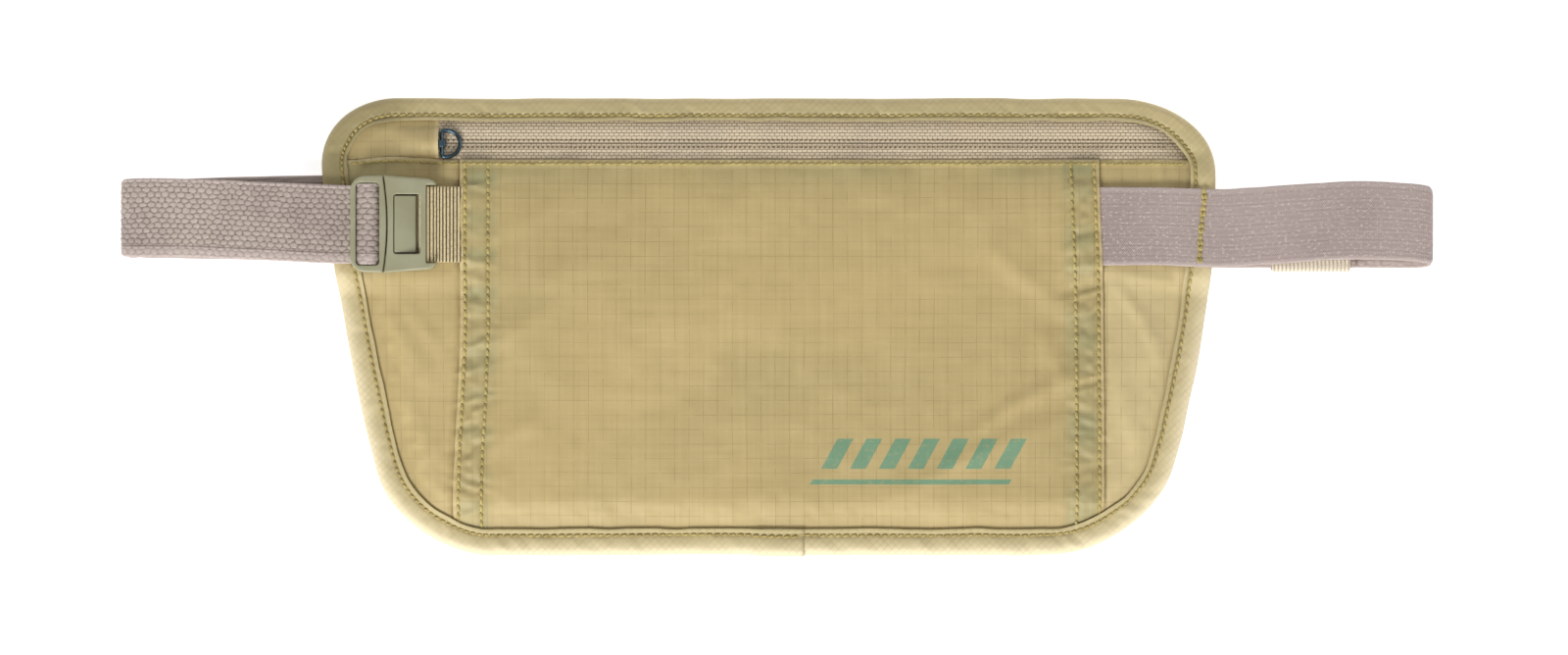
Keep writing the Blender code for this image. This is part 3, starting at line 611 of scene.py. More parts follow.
def zip_knit():
    """Knitted zip tape: fine rows of small loops, with painted shade and highlight in stripes along the
    chain.
    """
    look = Look("zip_knit", 0.85, Sheen_Weight=0.2)
    joints = look.node(
        "ShaderNodeTexBrick", {"offset": 0.5}, Vector=look.place, Scale=1.0,
        Mortar_Size=0.24 * MM, Mortar_Smooth=1.0, Brick_Width=1.6 * MM, Row_Height=1.05 * MM,
    ).outputs["Fac"]
    grain = look.noise(look.place, 1000.0)
    drift = look.step(look.noise(look.place, 40.0), 0.3, 0.7)
    colour = look.mix(drift, srgb(222, 204, 174), srgb(211, 195, 170))
    colour = look.mix(look.times(joints, 0.75), colour, srgb(122, 100, 70))
    colour = look.mix(look.step(grain, 0.5, 0.75, 0.0, 0.5), colour, srgb(228, 213, 182))
    _x, y, _z = look.axes(look.place)
    off = look.apart(y, ZIP_Y)
    dark = srgb(120, 98, 68)
    pale = srgb(232, 217, 186)
    # Stripes: painted shade in the middle groove and the chain rows' grooves, a painted highlight on the
    # ridge 2.2 mm out, and a darker line 3.5 mm out.
    for middle, half, share, tint in (
        (0.0, 0.35, 0.3, dark), (CHAIN_ROW, 0.4, 0.36, dark), (2.2, 0.6, 0.16, pale), (3.5, 0.35, 0.14, dark),
    ):
        stripe = look.step(look.apart(off, middle), half * MM * 0.4, half * MM * 1.2, share, 0.0)
        colour = look.mix(stripe, colour, tint)
    look.colour(colour)
    look.bump(look.plus(look.math("SUBTRACT", 1.0, joints), look.times(grain, 0.6)), 0.14)
    return look.material


def fibre(name, base, dark, roughness=0.8):
    """Thread, coil or cord: one colour with a fine fibrous grain."""
    look = Look(name, roughness, Sheen_Weight=0.2)
    grain = look.noise(look.place, 1400.0)
    drift = look.noise(look.place, 120.0)
    share = look.plus(look.times(grain, 0.6), look.times(drift, 0.6))
    look.colour(look.mix(look.step(share, 0.35, 0.85), dark, base))
    look.bump(grain, 0.05)
    return look.material


def moulded(name, base, pale):
    """Satin moulded plastic with a fine spark-eroded grain."""
    look = Look(name, 0.42, Specular_IOR_Level=0.45)
    drift = look.noise(look.place, 90.0, 3.0)
    look.colour(look.mix(look.step(drift, 0.35, 0.7), base, pale))
    look.bump(look.noise(look.place, 3200.0), 0.012)
    look.roughness(look.step(look.noise(look.place, 260.0, 3.0), 0.3, 0.7, 0.36, 0.5))
    return look.material


def dark_metal(name, base):
    """Dark plated metal with faint rub marks."""
    look = Look(name, 0.2, 1.0, Coat_Weight=0.6, Coat_Roughness=0.06)
    rub = look.noise(look.stretch(look.place, (200.0, 900.0, 900.0)), 1.0, 3.0)
    look.colour(look.mix(look.step(rub, 0.4, 0.75), base, tuple(2.0 * v for v in base)))
    look.roughness(look.step(rub, 0.3, 0.8, 0.16, 0.36))
    look.bump(rub, 0.006)
    return look.material


def knitted_elastic():
    """Elastic with a chunky brick weave on one face and fine twill on the other.

    The flat attribute gives the place along and across the strap and which face is the chunky one, and tone
    the joints between the pillows, each pillow's shade and the plain border.
    """
    look = Look("knitted_elastic", 0.88, Sheen_Weight=0.2)
    flat = look.attribute("flat")
    metres = look.stretch(flat, (MM, MM, MM))
    along, across, _side = look.axes(metres)
    chunky = look.step(look.axes(flat)[2], 0.4, 0.6)
    joint, shade, border = look.axes(look.attribute("tone"))
    fluff = look.noise(look.place, 1100.0, 3.0)
    big = look.noise(look.place, 30.0)
    selvedge = srgb(206, 190, 184)

    cell = look.mix(look.step(big, 0.35, 0.62), srgb(184, 169, 158), srgb(160, 145, 138))
    cell = look.mix(look.times(shade, 0.22), cell, srgb(214, 200, 188))
    cell = look.mix(look.times(border, 0.4), cell, selvedge)
    cell = look.mix(look.times(joint, 0.6), cell, srgb(98, 82, 76))
    cell = look.mix(look.step(fluff, 0.5, 0.8, 0.0, 0.45), cell, srgb(208, 194, 183))

    ticks = look.wave(look.plus(look.times(along, 1.6), across), 0.9)
    twill = look.plus(look.times(look.wave(across, 1.1), 0.2), look.times(ticks, 0.5))
    dark = srgb(136, 120, 115)
    plain = look.mix(look.step(big, 0.35, 0.7), srgb(187, 170, 164), srgb(171, 154, 150))
    plain = look.mix(look.step(twill, -0.2, 0.8, 0.0, 0.5), plain, dark)
    plain = look.mix(look.step(look.wave(along, 0.8), 0.0, 1.0, 0.0, 0.25), plain, dark)
    plain = look.mix(look.step(look.wave(across, 1.65), -0.2, 0.9, 0.0, 0.15), plain, srgb(128, 112, 108))
    glint = look.noise(look.stretch(metres, (950.0, 1500.0, 1.0)), 1.0, 1.0)
    plain = look.mix(look.step(glint, 0.56, 0.72, 0.0, 0.7), plain, srgb(219, 205, 198))

    rim = look.step(look.math("ABSOLUTE", across), 11.0 * MM, 11.4 * MM)
    look.colour(look.mix(look.times(rim, 0.45), look.mix(chunky, plain, cell), selvedge))
    relief = look.node(
        "ShaderNodeMix", {"data_type": "FLOAT"},
        _0=chunky, _2=look.times(twill, 0.35), _3=look.math("SUBTRACT", 1.0, joint),
    ).outputs[0]
    look.bump(look.plus(relief, look.times(fluff, 0.6)), 0.2)
    return look.material


def ribbed(name, pale, dark, pitch):
    """Woven ribs across the webbing, pale with painted shade in the grooves. The flat attribute's u runs
    across them.
    """
    look = Look(name, 0.85, Sheen_Weight=0.2)
    along, across, _side = look.axes(look.stretch(look.attribute("flat"), (MM, MM, MM)))
    ridge = look.step(look.math("PINGPONG", along, pitch * MM / 2.0), 0.08 * MM, pitch * MM * 0.33)
    grain = look.noise(look.place, 1300.0)
    # Painted shade: the grooves between the ribs are coloured dark.
    colour = look.mix(ridge, dark, pale)
    look.colour(look.mix(look.step(grain, 0.45, 0.75, 0.0, 0.35), colour, dark))
    look.bump(look.plus(look.times(look.wave(across, 0.5), 0.3), look.plus(ridge, grain)), 0.08)
    return look.material


RIPSTOP = ripstop(
    "ripstop", srgb(191, 169, 115), srgb(184, 163, 111), dark=srgb(136, 114, 66),
    green=srgb(157, 153, 110), pale=srgb(224, 206, 158), printed=True,
)
BIAS_TAPE = ripstop(
    "bias_tape", srgb(203, 184, 132), srgb(194, 176, 127), dark=srgb(150, 136, 90),
    green=srgb(178, 167, 122), pale=srgb(230, 215, 178), pitch=1.7, line_shade=0.28, turn=math.radians(45.0),
)
ZIP_TAPE = zip_knit()
COIL = fibre("zip_coil", srgb(190, 176, 146), srgb(140, 122, 90), 0.5)
SEWING = fibre("sewing_thread", srgb(199, 181, 112), srgb(152, 135, 74))
ZIP_THREAD = fibre("zip_thread", srgb(130, 110, 78), srgb(84, 66, 42))
GUNMETAL = dark_metal("gunmetal", (0.03, 0.06, 0.08))
PLASTIC = moulded("buckle_plastic", srgb(152, 149, 119), srgb(162, 160, 131))
GROSGRAIN = ribbed("grosgrain", srgb(223, 205, 160), srgb(70, 52, 24), TAB_RIB)
ELASTIC = knitted_elastic()
KEEPER = ribbed("keeper_elastic", srgb(232, 221, 203), srgb(190, 174, 148), 1.25)


# ---- cloth surfaces


def seam_x(fold_x, y, inset):
    """Place of a line in from a folded seam edge. Both seams lean a little to the left near their ends."""
    if fold_x < 0.0:
        return fold_x + 2.4 - 2.4 * smooth((4.0 - y) / 66.0) + inset
    return fold_x - 1.4 * smooth((y - 4.0) / 44.0) + 0.3 * smooth((4.0 - y) / 40.0) - inset


def seam_insets(x, y):
    """For each seam, its edge's x and how far points lie in from that edge, towards the middle panel."""
    return [(fold_x, side * (x - seam_x(fold_x, y, 0.0))) for fold_x, side in SEAMS]


FOLDS = (
    # x and y of both ends, half width and height of soft folds in the cloth
    (-90.0, 30.0, -62.0, 44.0, 4.0, 0.4), (-86.0, 12.0, -34.0, 30.0, 7.0, 0.4),
    (-90.0, 6.0, -60.0, -30.0, 5.0, 0.5), (84.0, 46.0, 93.0, 8.0, 5.0, 0.7),
    (62.0, -34.0, 94.0, -14.0, 3.4, 1.1), (40.0, -52.0, 92.0, -28.0, 4.0, 0.9),
    (70.0, 24.0, 94.0, 2.0, 4.0, 0.9), (84.0, -2.0, 96.0, -22.0, 3.0, 0.8),
    (-96.0, -6.0, -74.0, 4.0, 3.4, 0.6), (-96.0, -40.0, -76.0, -30.0, 3.4, 0.5),
    (-60.0, 46.0, -10.0, 38.0, 7.0, 0.25), (-20.0, 10.0, 40.0, -8.0, 12.0, 0.3),
    (108.0, 12.0, 124.0, -10.0, 2.4, 1.0), (106.0, -8.0, 118.0, -44.0, 3.4, 0.9),
    (-128.0, 8.0, -110.0, -18.0, 3.2, 0.6), (-126.0, -14.0, -108.0, -40.0, 4.0, 0.6),
    (-118.0, 6.0, -106.0, -10.0, 3.0, 0.5), (-134.0, 46.0, -106.0, 49.5, 2.2, 0.45),
    (108.0, 16.5, 130.0, 14.0, 2.0, 0.4),
)


def folds(x, y):
    """Height of the soft folds, which taper off at both ends and wander a little."""
    height = 0.0
    for x0, y0, x1, y1, half, rise in FOLDS:
        length = math.hypot(x1 - x0, y1 - y0)
        share = ((x - x0) * (x1 - x0) + (y - y0) * (y1 - y0)) / length**2
        off = ((x - x0) * (y1 - y0) - (y - y0) * (x1 - x0)) / length
        off = off + 1.5 * noise(x, y, 16.0, 5)
        taper = smooth((share + 0.25) / 0.5) * smooth((1.25 - share) / 0.5)
        height = height + rise * taper * bell(off, half)
    return height


def puckers(x, y):
    """Short ridges across the double seams and under the hem."""
    height = 0.0
    middle = (SEAM_ROWS[0] + SEAM_ROWS[1]) / 2.0
    for fold_x, inset in seam_insets(x, y):
        tilt = y + 0.25 * (inset - middle) * np.sign(noise(y, y * 0.0, 14.0, 9))
        ridge = 1.3 * (0.3 - np.abs(noise(tilt, fold_x, 3.4, 11))) + 0.6 * noise(tilt, x, 2.2, 12)
        height = height + 0.8 * bell(inset - middle, 5.8) * ridge * smooth((HEM_Y - 3.0 - y) / 6.0)
    below = np.clip(HEM_ROW_Y - y, 0.0, 20.0)
    return height + 0.42 * np.exp(-below / 4.5) * noise(x, 0.0, 2.4, 14) * smooth((HEM_Y - y) / 2.0)


def wrinkles(x, y):
    """Height of the cloth's folds over its smooth shape, fading out under the binding."""
    in_from_tape = edge_distance(x, y) - BINDING_WIDTH
    height = 0.4 * noise(x, y, 26.0, 1) + 0.28 * noise(x, y, 11.0, 2) + 0.12 * noise(x, y, 4.5, 3)
    height = height + 0.85 * folds(x, y) + puckers(x, y)
    near = np.exp(-np.clip(in_from_tape, 0.0, 40.0) / 5.0)
    height = height + 0.5 * near * noise(x + y, x - y, 4.0, 4)
    return height * smooth((in_from_tape - 0.2) / 5.5)


def row_dip(distance, run, depth=0.38, half=0.8):
    """The groove that a row of stitches pulls into the cloth, deepest where the thread dives."""
    beat = 0.8 + 0.2 * np.cos(FULL_TURN * run / STITCH_PITCH)
    return -depth * beat * bell(distance, half)


def under_strap(x, y):
    """How far the seam's edge is lifted by the strap on the right and the tab on the left."""
    right = 1.5 * smooth((x - 89.0) / 8.0) * (1.0 - smooth((np.abs(y - 32.0) - 12.4) / 3.0))
    left = 1.15 * smooth((-90.5 - x) / 8.0) * (1.0 - smooth((np.abs(y - BUCKLE_Y) - 11.8) / 3.0))
    return right + left


def hem_shape(y):
    """The folded hem below the zip: one more layer, rounded at its top edge."""
    layer = 0.6 * smooth((y - (HEM_ROW_Y - 1.2)) / 0.9)
    return layer - 0.6 * smooth((y - (HEM_Y - 0.6)) / 0.6) ** 2


def hem_fold(y):
    """1 on the hem's folded edge above its stitches, 0 below them."""
    return smooth((y - HEM_ROW_Y - 0.2) / 0.4)


def hem_shift(x, y):
    """The hem bows up a little below the parked slider."""
    return bell(x + 121.0, 11.0) * smooth((y - 45.0) / 8.0) * (1.0 - smooth((y - 55.0) / 8.0))


def greenish(x, y):
    """Painted green shade over the seam allowances and below the hem, and a green tint in a few soft patches.
    """
    shade = 0.1 * np.maximum(noise(x, y, 24.0, 93), 0.0)
    for fold_x, inset in seam_insets(x, y):
        zone = smooth((inset - SEAM_ROWS[0]) / 1.2) * (1.0 - smooth((inset - SEAM_ROWS[1] - 0.5) / 4.5))
        shade = shade + zone * (0.5 + 0.35 * noise(y, fold_x, 4.0, 91))
    below = HEM_ROW_Y - y
    shade = shade + 0.5 * bell(below, 6.0) * (below > 0.0) * (0.6 + 0.4 * noise(x, 0.0, 16.0, 92))
    return np.clip(shade, 0.0, 0.9)


def top_left_shade(x, y):
    """Painted shadow: the corner above the buckle is darker."""
    return smooth((-112.0 - x) / 16.0) * smooth((y - 14.0) / 18.0)


def folded_edges(x, y):
    """Where a folded edge catches the light: along the seams' folds and the hem."""
    pale = 0.35 * hem_fold(y)
    for _fold_x, inset in seam_insets(x, y):
        pale = pale + 0.25 * (1.0 - smooth((inset - 0.9) / 0.5)) * (inset > -0.1)
    return np.clip(pale, 0.0, 0.6)


def fold_shadow_line(x, y):
    """Painted shadow: the dark line where the middle panel's folded edges press into the side panels."""
    dark = 0.0
    for fold_x, inset in seam_insets(x, y):
        dark = dark + 0.55 * bell(inset + 0.15, 0.42) * (0.8 + 0.3 * noise(y, fold_x, 9.0, 96))
    return np.clip(dark, 0.0, 1.0)


def panel_skin(x, y):
    """Top face of one layer of the front, with its folds and its hem."""
    return front_z(x, y) + SKIN + wrinkles(x, y) + hem_shape(y) + row_dip(y - HEM_ROW_Y, x)


def side_skin(x, y):
    """Top face of the side panels, which dip a little where they pass under the middle panel's edges."""
    height = panel_skin(x, y)
    edge = smooth((edge_distance(x, y) - 9.0) / 3.0)
    for _fold_x, inset in seam_insets(x, y):
        height = height - 0.5 * smooth((inset + 2.4) / 2.2) * edge
    return height


def bridged(x, y):
    """The middle panel spans the strap's ridge behind it in one soft swell."""
    clear = smooth((x + 92.0) / 26.0) * smooth((92.0 - x) / 26.0)
    swell = 0.55 * bell(y - 14.0, 34.0) * smooth((y + 60.0) / 30.0) * smooth((HEM_Y - y) / 14.0)
    return clear * (swell - 0.3 * BAND_LIFT * band(y))


def front_skin(x, y):
    """Top face of the middle panel, whose folded edges lie on the side panels."""
    height = panel_skin(x, y) + bridged(x, y)
    edge = smooth((edge_distance(x, y) - 8.0) / 3.0)
    for _fold_x, inset in seam_insets(x, y):
        layer = 0.6 * (1.0 - smooth((inset - SEAM_ROWS[1] - 0.4) / 1.2))
        round_off = 0.5 * (1.0 - smooth(inset / 0.5)) ** 2
        height = height + (layer - round_off) * edge
        for row in SEAM_ROWS:
            height = height + row_dip(inset - row, y) * edge
    return height + under_strap(x, y) * edge


def build_back():
    x, y = panel_grid(panel_left, panel_right, BOTTOM_Y + PANEL_INSET, TOP_Y - PANEL_INSET, BACK_STEP)
    soft = 0.35 * noise(x, y, 22.0, 41) + 0.15 * noise(x, y, 8.0, 42)
    under = back_z(y) + 0.1 + np.maximum(soft, -0.2) * smooth((edge_distance(x, y) - 9.0) / 6.0)
    back = cloth_sheet("back_cloth", RIPSTOP, x, y, under + SKIN, under)
    settle(back, "back_panel")


def build_middle_panel():
    x, y = panel_grid(
        lambda r: np.maximum(seam_x(SEAM_LEFT_X, r, 0.0), panel_left(r)),
        lambda r: np.minimum(seam_x(SEAM_RIGHT_X, r, 0.0), panel_right(r)),
        BOTTOM_Y + PANEL_INSET, HEM_Y, FRONT_STEP,
    )
    top = front_skin(x, y)
    bottom = top - SKIN
    edge = smooth((edge_distance(x, y) - 7.0) / 4.0)
    for _fold_x, inset in seam_insets(x, y):
        bottom = bottom - 0.25 * (1.0 - smooth((inset - 0.8) / 2.0)) * edge
    front = cloth_sheet("front_cloth", RIPSTOP, x, y, top, bottom, greenish(x, y), folded_edges(x, y))
    settle(front, "front_panel")


def build_side_panel(name, node, x_low, x_high, green, pale_and_lit):
    """A tapering panel beside the middle one. Its paleness, mostly painted light, is given as a function of
    y.
    """
    x, y = panel_grid(x_low, x_high, BOTTOM_Y + PANEL_INSET + 3.0, HEM_Y, FRONT_STEP)
    top = side_skin(x, y)
    shade = green * greenish(x, y) + 0.4 * top_left_shade(x, y)
    bowed = y + hem_shift(x, y)
    side = cloth_sheet(name, RIPSTOP, x, bowed, top, top - SKIN, shade, pale_and_lit(y), fold_shadow_line(x, y))
    settle(side, node)


def build_panels():
    under = 1.2  # how far the side panels reach in under the middle one
    build_back()
    build_middle_panel()
    build_side_panel(
        "side_cloth_left", "side_panel_left", panel_left,
        lambda r: np.maximum(seam_x(SEAM_LEFT_X, r, under), panel_left(r) + 0.6),
        # Left: a little paler all over, and painted light on the hem's folded edge.
        0.6, lambda y: 0.06 + 0.45 * hem_fold(y),
    )
    build_side_panel(
        "side_cloth_right", "side_panel_right",
        lambda r: np.minimum(seam_x(SEAM_RIGHT_X, r, under), panel_right(r) - 0.6), panel_right,
        # Right: a little paler all over, painted light that grows towards the bottom, and on the hem's folded
        # edge.
        0.3, lambda y: 0.1 + 0.32 * smooth((28.0 - y) / 14.0) + 0.3 * hem_fold(y),
    )


def build_seam_stitches():
    rows = []
    y = np.linspace(HEM_Y - 0.5, BOTTOM_Y + BINDING_WIDTH + 0.4, 60)
    for fold_x, _side in SEAMS:
        for inset in SEAM_ROWS:
            x = seam_x(fold_x, y, inset) + 0.15 * noise(y, 0.0, 9.0, 21)
            rows.append(stitch_row(np.column_stack([x, y]), front_skin, THREAD_LIFT))
    stitches("seam_stitches", rows, SEWING)


def build_hem_stitches():
    seams = [seam_x(fold_x, HEM_ROW_Y, 0.0) for fold_x, _side in SEAMS]
    ends = (left_edge(HEM_ROW_Y, 9.4), right_edge(HEM_ROW_Y, 9.4))
    rows = []
    for low, high, count, surface, lift in (
        (ends[0], seams[0] - 0.3, 30, side_skin, 0.15),
        (seams[0] + 0.4, seams[1] - 0.4, 200, front_skin, THREAD_LIFT),
        (seams[1] + 0.3, ends[1], 30, side_skin, THREAD_LIFT),
    ):
        x = np.linspace(low, high, count)
        rows.append(stitch_row(np.column_stack([x, np.full(count, HEM_ROW_Y)]), surface, lift))
    for end in rows[0]:
        end[:, 1] += hem_shift(end[:, 0], end[:, 1])
    stitches("hem_stitches", rows, SEWING, radius=0.4)


# ---- binding

# Distances in from the outer edge of the points round the folded tape: the upper face from its lip outwards,
# the lower face inwards, and then the inner faces of both back again.
UPPER_INSETS = (
    8.5, 8.35, 8.1, 7.8, 7.5, 7.25, 7.05, 6.85, 6.65, 6.5, 6.35, 6.1, 5.7, 5.2, 4.5, 3.7, 2.9, 2.2, 1.55, 1.0,
    0.55, 0.25, 0.07,
)
LOWER_INSETS = (0.0, 0.07, 0.25, 0.55, 1.0, 1.55, 2.2, 3.4, 5.0, 6.5, 7.0, 7.6, 8.5)
INNER_LOWER_INSETS = (8.4, 6.0, 3.5, 1.6)
INNER_UPPER_INSETS = (1.6, 3.5, 5.0, 6.2, 7.0, 7.6, 8.3)


def binding_path():
    """Points along the outline from the start of the lap right round to its end, with inward normals."""
    fine = 0.25
    line = dense_outline(fine)
    start = int(np.argmin(np.abs(line[:, 0] - LAP_X[0]) + 1000.0 * (line[:, 1] > BOTTOM_Y + 0.5)))
    line = np.roll(line, -start, axis=0)
    points = resample(np.concatenate([line, line[:int((LAP_X[1] - LAP_X[0]) / fine)]]), BINDING_STEP)
    ahead = np.roll(points, -3, axis=0) - np.roll(points, 3, axis=0)
    ahead[:3] = ahead[3]
    ahead[-3:] = ahead[-4]
    ahead = unit(ahead)
    return points, np.stack([-ahead[:, 1], ahead[:, 0]], axis=1), np.arange(len(points)) * BINDING_STEP


def binding_top(spot, inset, run, lap):
    """Upper face of the binding at a distance in from the edge."""
    top = front_z(spot[:, 0], spot[:, 1]) + 2.0 * CLOTH + GAP
    crown = 0.6 * np.sin(math.pi * np.clip(inset / BINDING_ROW, 0.0, 1.0)) ** 0.8
    lip = 0.26 * bell(inset - 7.75, 0.6)
    ripple = 0.16 * noise(run, inset, 2.2, 31) + 0.22 * noise(run, inset * 0.6, 6.5, 32)
    bulk = np.clip(np.minimum(inset, 7.6 - inset) / 2.2, 0.0, 1.0)
    turn = 0.2 * noise(run + 0.8 * inset, 0.0, 3.0, 33)
    return top + crown + lip + (ripple + turn) * bulk + row_dip(inset - BINDING_ROW, run, 0.4, 0.6) + lap


def build_binding():
    points, inward, run = binding_path()
    lap_zone = smooth((run - (run[-1] - (LAP_X[1] - LAP_X[0]) - 6.5)) / 6.0)
    lap = LAP_RAISE * lap_zone
    wander = 0.22 * noise(run, 0.0, 12.0, 35) - 0.35 * lap_zone
    lip_wander = 0.28 * noise(run, 3.0, 7.0, 36)
    narrow = TOP_NARROWER * smooth((points[:, 1] - 62.0) / 10.0)
    backlit = smooth((46.0 - points[:, 1]) / 60.0)
    # Painted shadow of the buckle in the corner above it.
    corner = top_left_shade(points[:, 0], points[:, 1])
    # Painted shadow along the lapped end of the tape.
    lap_edge = 0.6 * bell(run[-1] - run, 0.7)

    def place(inset, share):
        """The tape's points at an inset. share tells how much they wander with its lip, and not its edge."""
        shift = wander * (1.0 - share) + lip_wander * share - narrow * smooth(inset / BINDING_WIDTH)
        return points + inward * (inset + shift)[:, None]

    def tape_place(inset):
        return place(inset, smooth((inset - 5.0) / 3.0))

    def faces_at(inset):
        """Heights of the upper and the lower face, which meet in a round outer edge."""
        spot = tape_place(inset)
        level = np.full(len(run), inset)
        top = binding_top(spot, level, run, lap)
        bottom = back_z(spot[:, 1]) - CLOTH - GAP + 0.12 * (1.0 + noise(run, level, 5.0, 37))
        share = math.sqrt(1.0 - (1.0 - min(inset / BINDING_ROUND, 1.0)) ** 2)
        middle = bottom + 0.55 * (top - bottom)
        return middle + (top - middle) * share, np.maximum(middle + (bottom - middle) * share, 0.02)

    def tone_at(inset):
        """Shares of green, paleness and crease: painted green shade along the middle and on the lip, painted
        light where light comes through, and painted shadow along the lip's edge, at the lap's end and in the
        corner.
        """
        lip = smooth((inset - 7.0) / 0.2)
        shade = 0.5 * bell(inset - 4.6, 1.8) * (0.75 + 0.35 * noise(run, 0.0, 9.0, 38))
        shade = shade * (1.0 - 0.35 * backlit) + 0.5 * corner + 0.35 * smooth((inset - 7.1) / 0.2)
        pale_and_lit = (0.22 + 0.7 * (1.0 - smooth((inset - 0.6) / 4.4)) - 0.2 * lip) * backlit
        pale_and_lit = np.clip(pale_and_lit + 0.1 * (1.0 - backlit) - 0.5 * corner, 0.0, 1.0)
        crease = 0.5 * bell(inset - 7.0, 0.25) + 0.35 * corner + lap_edge
        return np.stack([shade, pale_and_lit, crease], axis=1)

    columns = []
    tones = []
    for insets, face, rise in (
        (UPPER_INSETS, 0, 0.0), (LOWER_INSETS, 1, 0.0),
        (INNER_LOWER_INSETS, 1, TAPE), (INNER_UPPER_INSETS, 0, -TAPE),
    ):
        for inset in insets:
            columns.append(np.column_stack([tape_place(inset), faces_at(inset)[face] + rise]))
            tones.append(tone_at(inset))
    tape = loft("binding", BIAS_TAPE, np.stack(columns, axis=1), tone=np.stack(tones, axis=1))
    settle(tape, "edge_binding")

    every = slice(None, None, int(STITCH_PITCH / BINDING_STEP))
    line = place(BINDING_ROW, 0.0)[every]
    heights = binding_top(line, np.full(len(line), BINDING_ROW), run[every], lap[every]) + 0.12
    rows = [stitch_ends(np.column_stack([line, heights]), 0.94)]
    stitches("binding_stitches", rows, SEWING, radius=0.42)


# ---- zip


def tape_skin(x, y):
    """Top face of the zip tapes, lower where the slider runs and kept under the hem."""
    off = np.abs(y - ZIP_Y)
    ridge = 0.09 * bell(off - 2.2, 0.8) - 0.12 * bell(off - 1.1, 0.35) - 0.08 * bell(off, 0.25)
    clear = smooth((off - SLIDER_HALF_WIDTH) / 0.6)
    height = front_z(x, y) - GAP + TAPE_RAISE * clear + ridge + 0.08 * noise(x, y, 14.0, 51)
    lid = np.minimum(front_skin(x, y), side_skin(x, y)) - SKIN - 0.35
    under_hem = smooth((HEM_Y + 0.3 - y) / 0.9)
    return height + (np.minimum(height, lid) - height) * under_hem


def build_zip_tapes():
    for name, low, high, node in (
        ("zip_tape_high", ZIP_Y + 0.1, TOP_Y - PANEL_INSET, "zip_tape_upper"),
        ("zip_tape_low", TAPE_LOW_Y, ZIP_Y - 0.1, "zip_tape_lower"),
    ):
        x, y = panel_grid(lambda r: np.maximum(panel_left(r), TAPE_LEFT_X), panel_right, low, high, TAPE_STEP)
        top = tape_skin(x, y)
        tape = cloth_sheet(name, ZIP_TAPE, x, y, top, top - TAPE)
        settle(tape, node)
    rows = []
    x = np.linspace(GARAGE_RIGHT_X + 0.9, 124.0, 400)
    for offset in (-CHAIN_ROW, CHAIN_ROW):
        line = np.column_stack([x, ZIP_Y + offset + 0.1 * noise(x, offset, 18.0, 53)])
        rows.append(stitch_row(line, tape_skin, -0.08, pitch=1.5, share=0.6))
    stitches("zip_stitches", rows, ZIP_THREAD, 0.27, arch=0.1)


def helix(side):
    """One zip coil: a wound nylon thread along the edge of its tape."""
    t = np.linspace(0.0, COIL_TURNS, COIL_TURNS * 14)
    angle = FULL_TURN * t
    x = COIL_START_X + COIL_PITCH * t
    y = ZIP_Y + side * (0.95 + 0.42 * np.cos(angle))
    z = front_z(x, np.full_like(x, ZIP_Y)) - CLOTH - GAP - GAP - 0.6 + 0.34 * np.sin(angle)
    centre = np.column_stack([x, y, z])
    ahead = unit(np.gradient(centre, axis=0))
    out = np.column_stack([np.zeros_like(t), np.cos(angle), np.sin(angle)])
    out = unit(out - ahead * np.sum(out * ahead, axis=1, keepdims=True))
    beside = np.cross(ahead, out)
    around = np.linspace(0.0, FULL_TURN, 6, endpoint=False)[None, :, None]
    skin = np.cos(around) * out[:, None, :] + np.sin(around) * beside[:, None, :]
    return centre[:, None, :] + COIL_WIRE * skin


def build_coils():
    for name, side, node in (("coil_high", 1.0, "zip_coil_upper"), ("coil_low", -1.0, "zip_coil_lower")):
        settle(loft(name, COIL, helix(side)), node)


def garage_skin(x, y):
    """Top face of the patch that covers the parked slider."""
    across = np.maximum(1.0 - ((y - ZIP_Y) / 5.0) ** 2, 0.0)
    bump = GARAGE_LIFT * across * smooth((x + 128.0) / 18.0)
    soft = 0.25 * noise(x, y, 9.0, 61) + 0.12 * noise(x, y, 3.5, 62)
    from_end = x - GARAGE_RIGHT_X
    fold = 0.3 * smooth((from_end + 2.5) / 0.6) - 0.35 * smooth((from_end + 0.5) / 0.5) ** 2
    crease = 0.35 * bell(y - 65.0 - 0.12 * (x + 120.0), 1.6) * smooth((x + 132.0) / 8.0)
    crease = crease + 0.45 * bell(x + 112.6 - 0.1 * (y - 60.0), 0.9) + 0.3 * bell(x + 119.5, 1.2)
    fade = smooth((edge_distance(x, y) - BINDING_WIDTH - 0.2) / 3.0) * smooth((y - HEM_Y) / 2.0)
    return front_z(x, y) + SKIN + bump + (soft + crease + fold) * fade


def build_garage():
    x, y = panel_grid(
        panel_left, lambda r: np.full_like(r, GARAGE_RIGHT_X), HEM_Y + 0.15, TOP_Y - PANEL_INSET, GARAGE_STEP
    )
    top = garage_skin(x, y)
    # A little paler all over, with painted light on the folded right end.
    pale = 0.5 * smooth((x - (GARAGE_RIGHT_X - 1.4)) / 0.5) + 0.12
    bowed = y + hem_shift(x, y)
    patch = cloth_sheet("garage_cloth", RIPSTOP, x, bowed, top, top - TAPE, 0.3 * greenish(x, y), pale)
    settle(patch, "zip_garage")


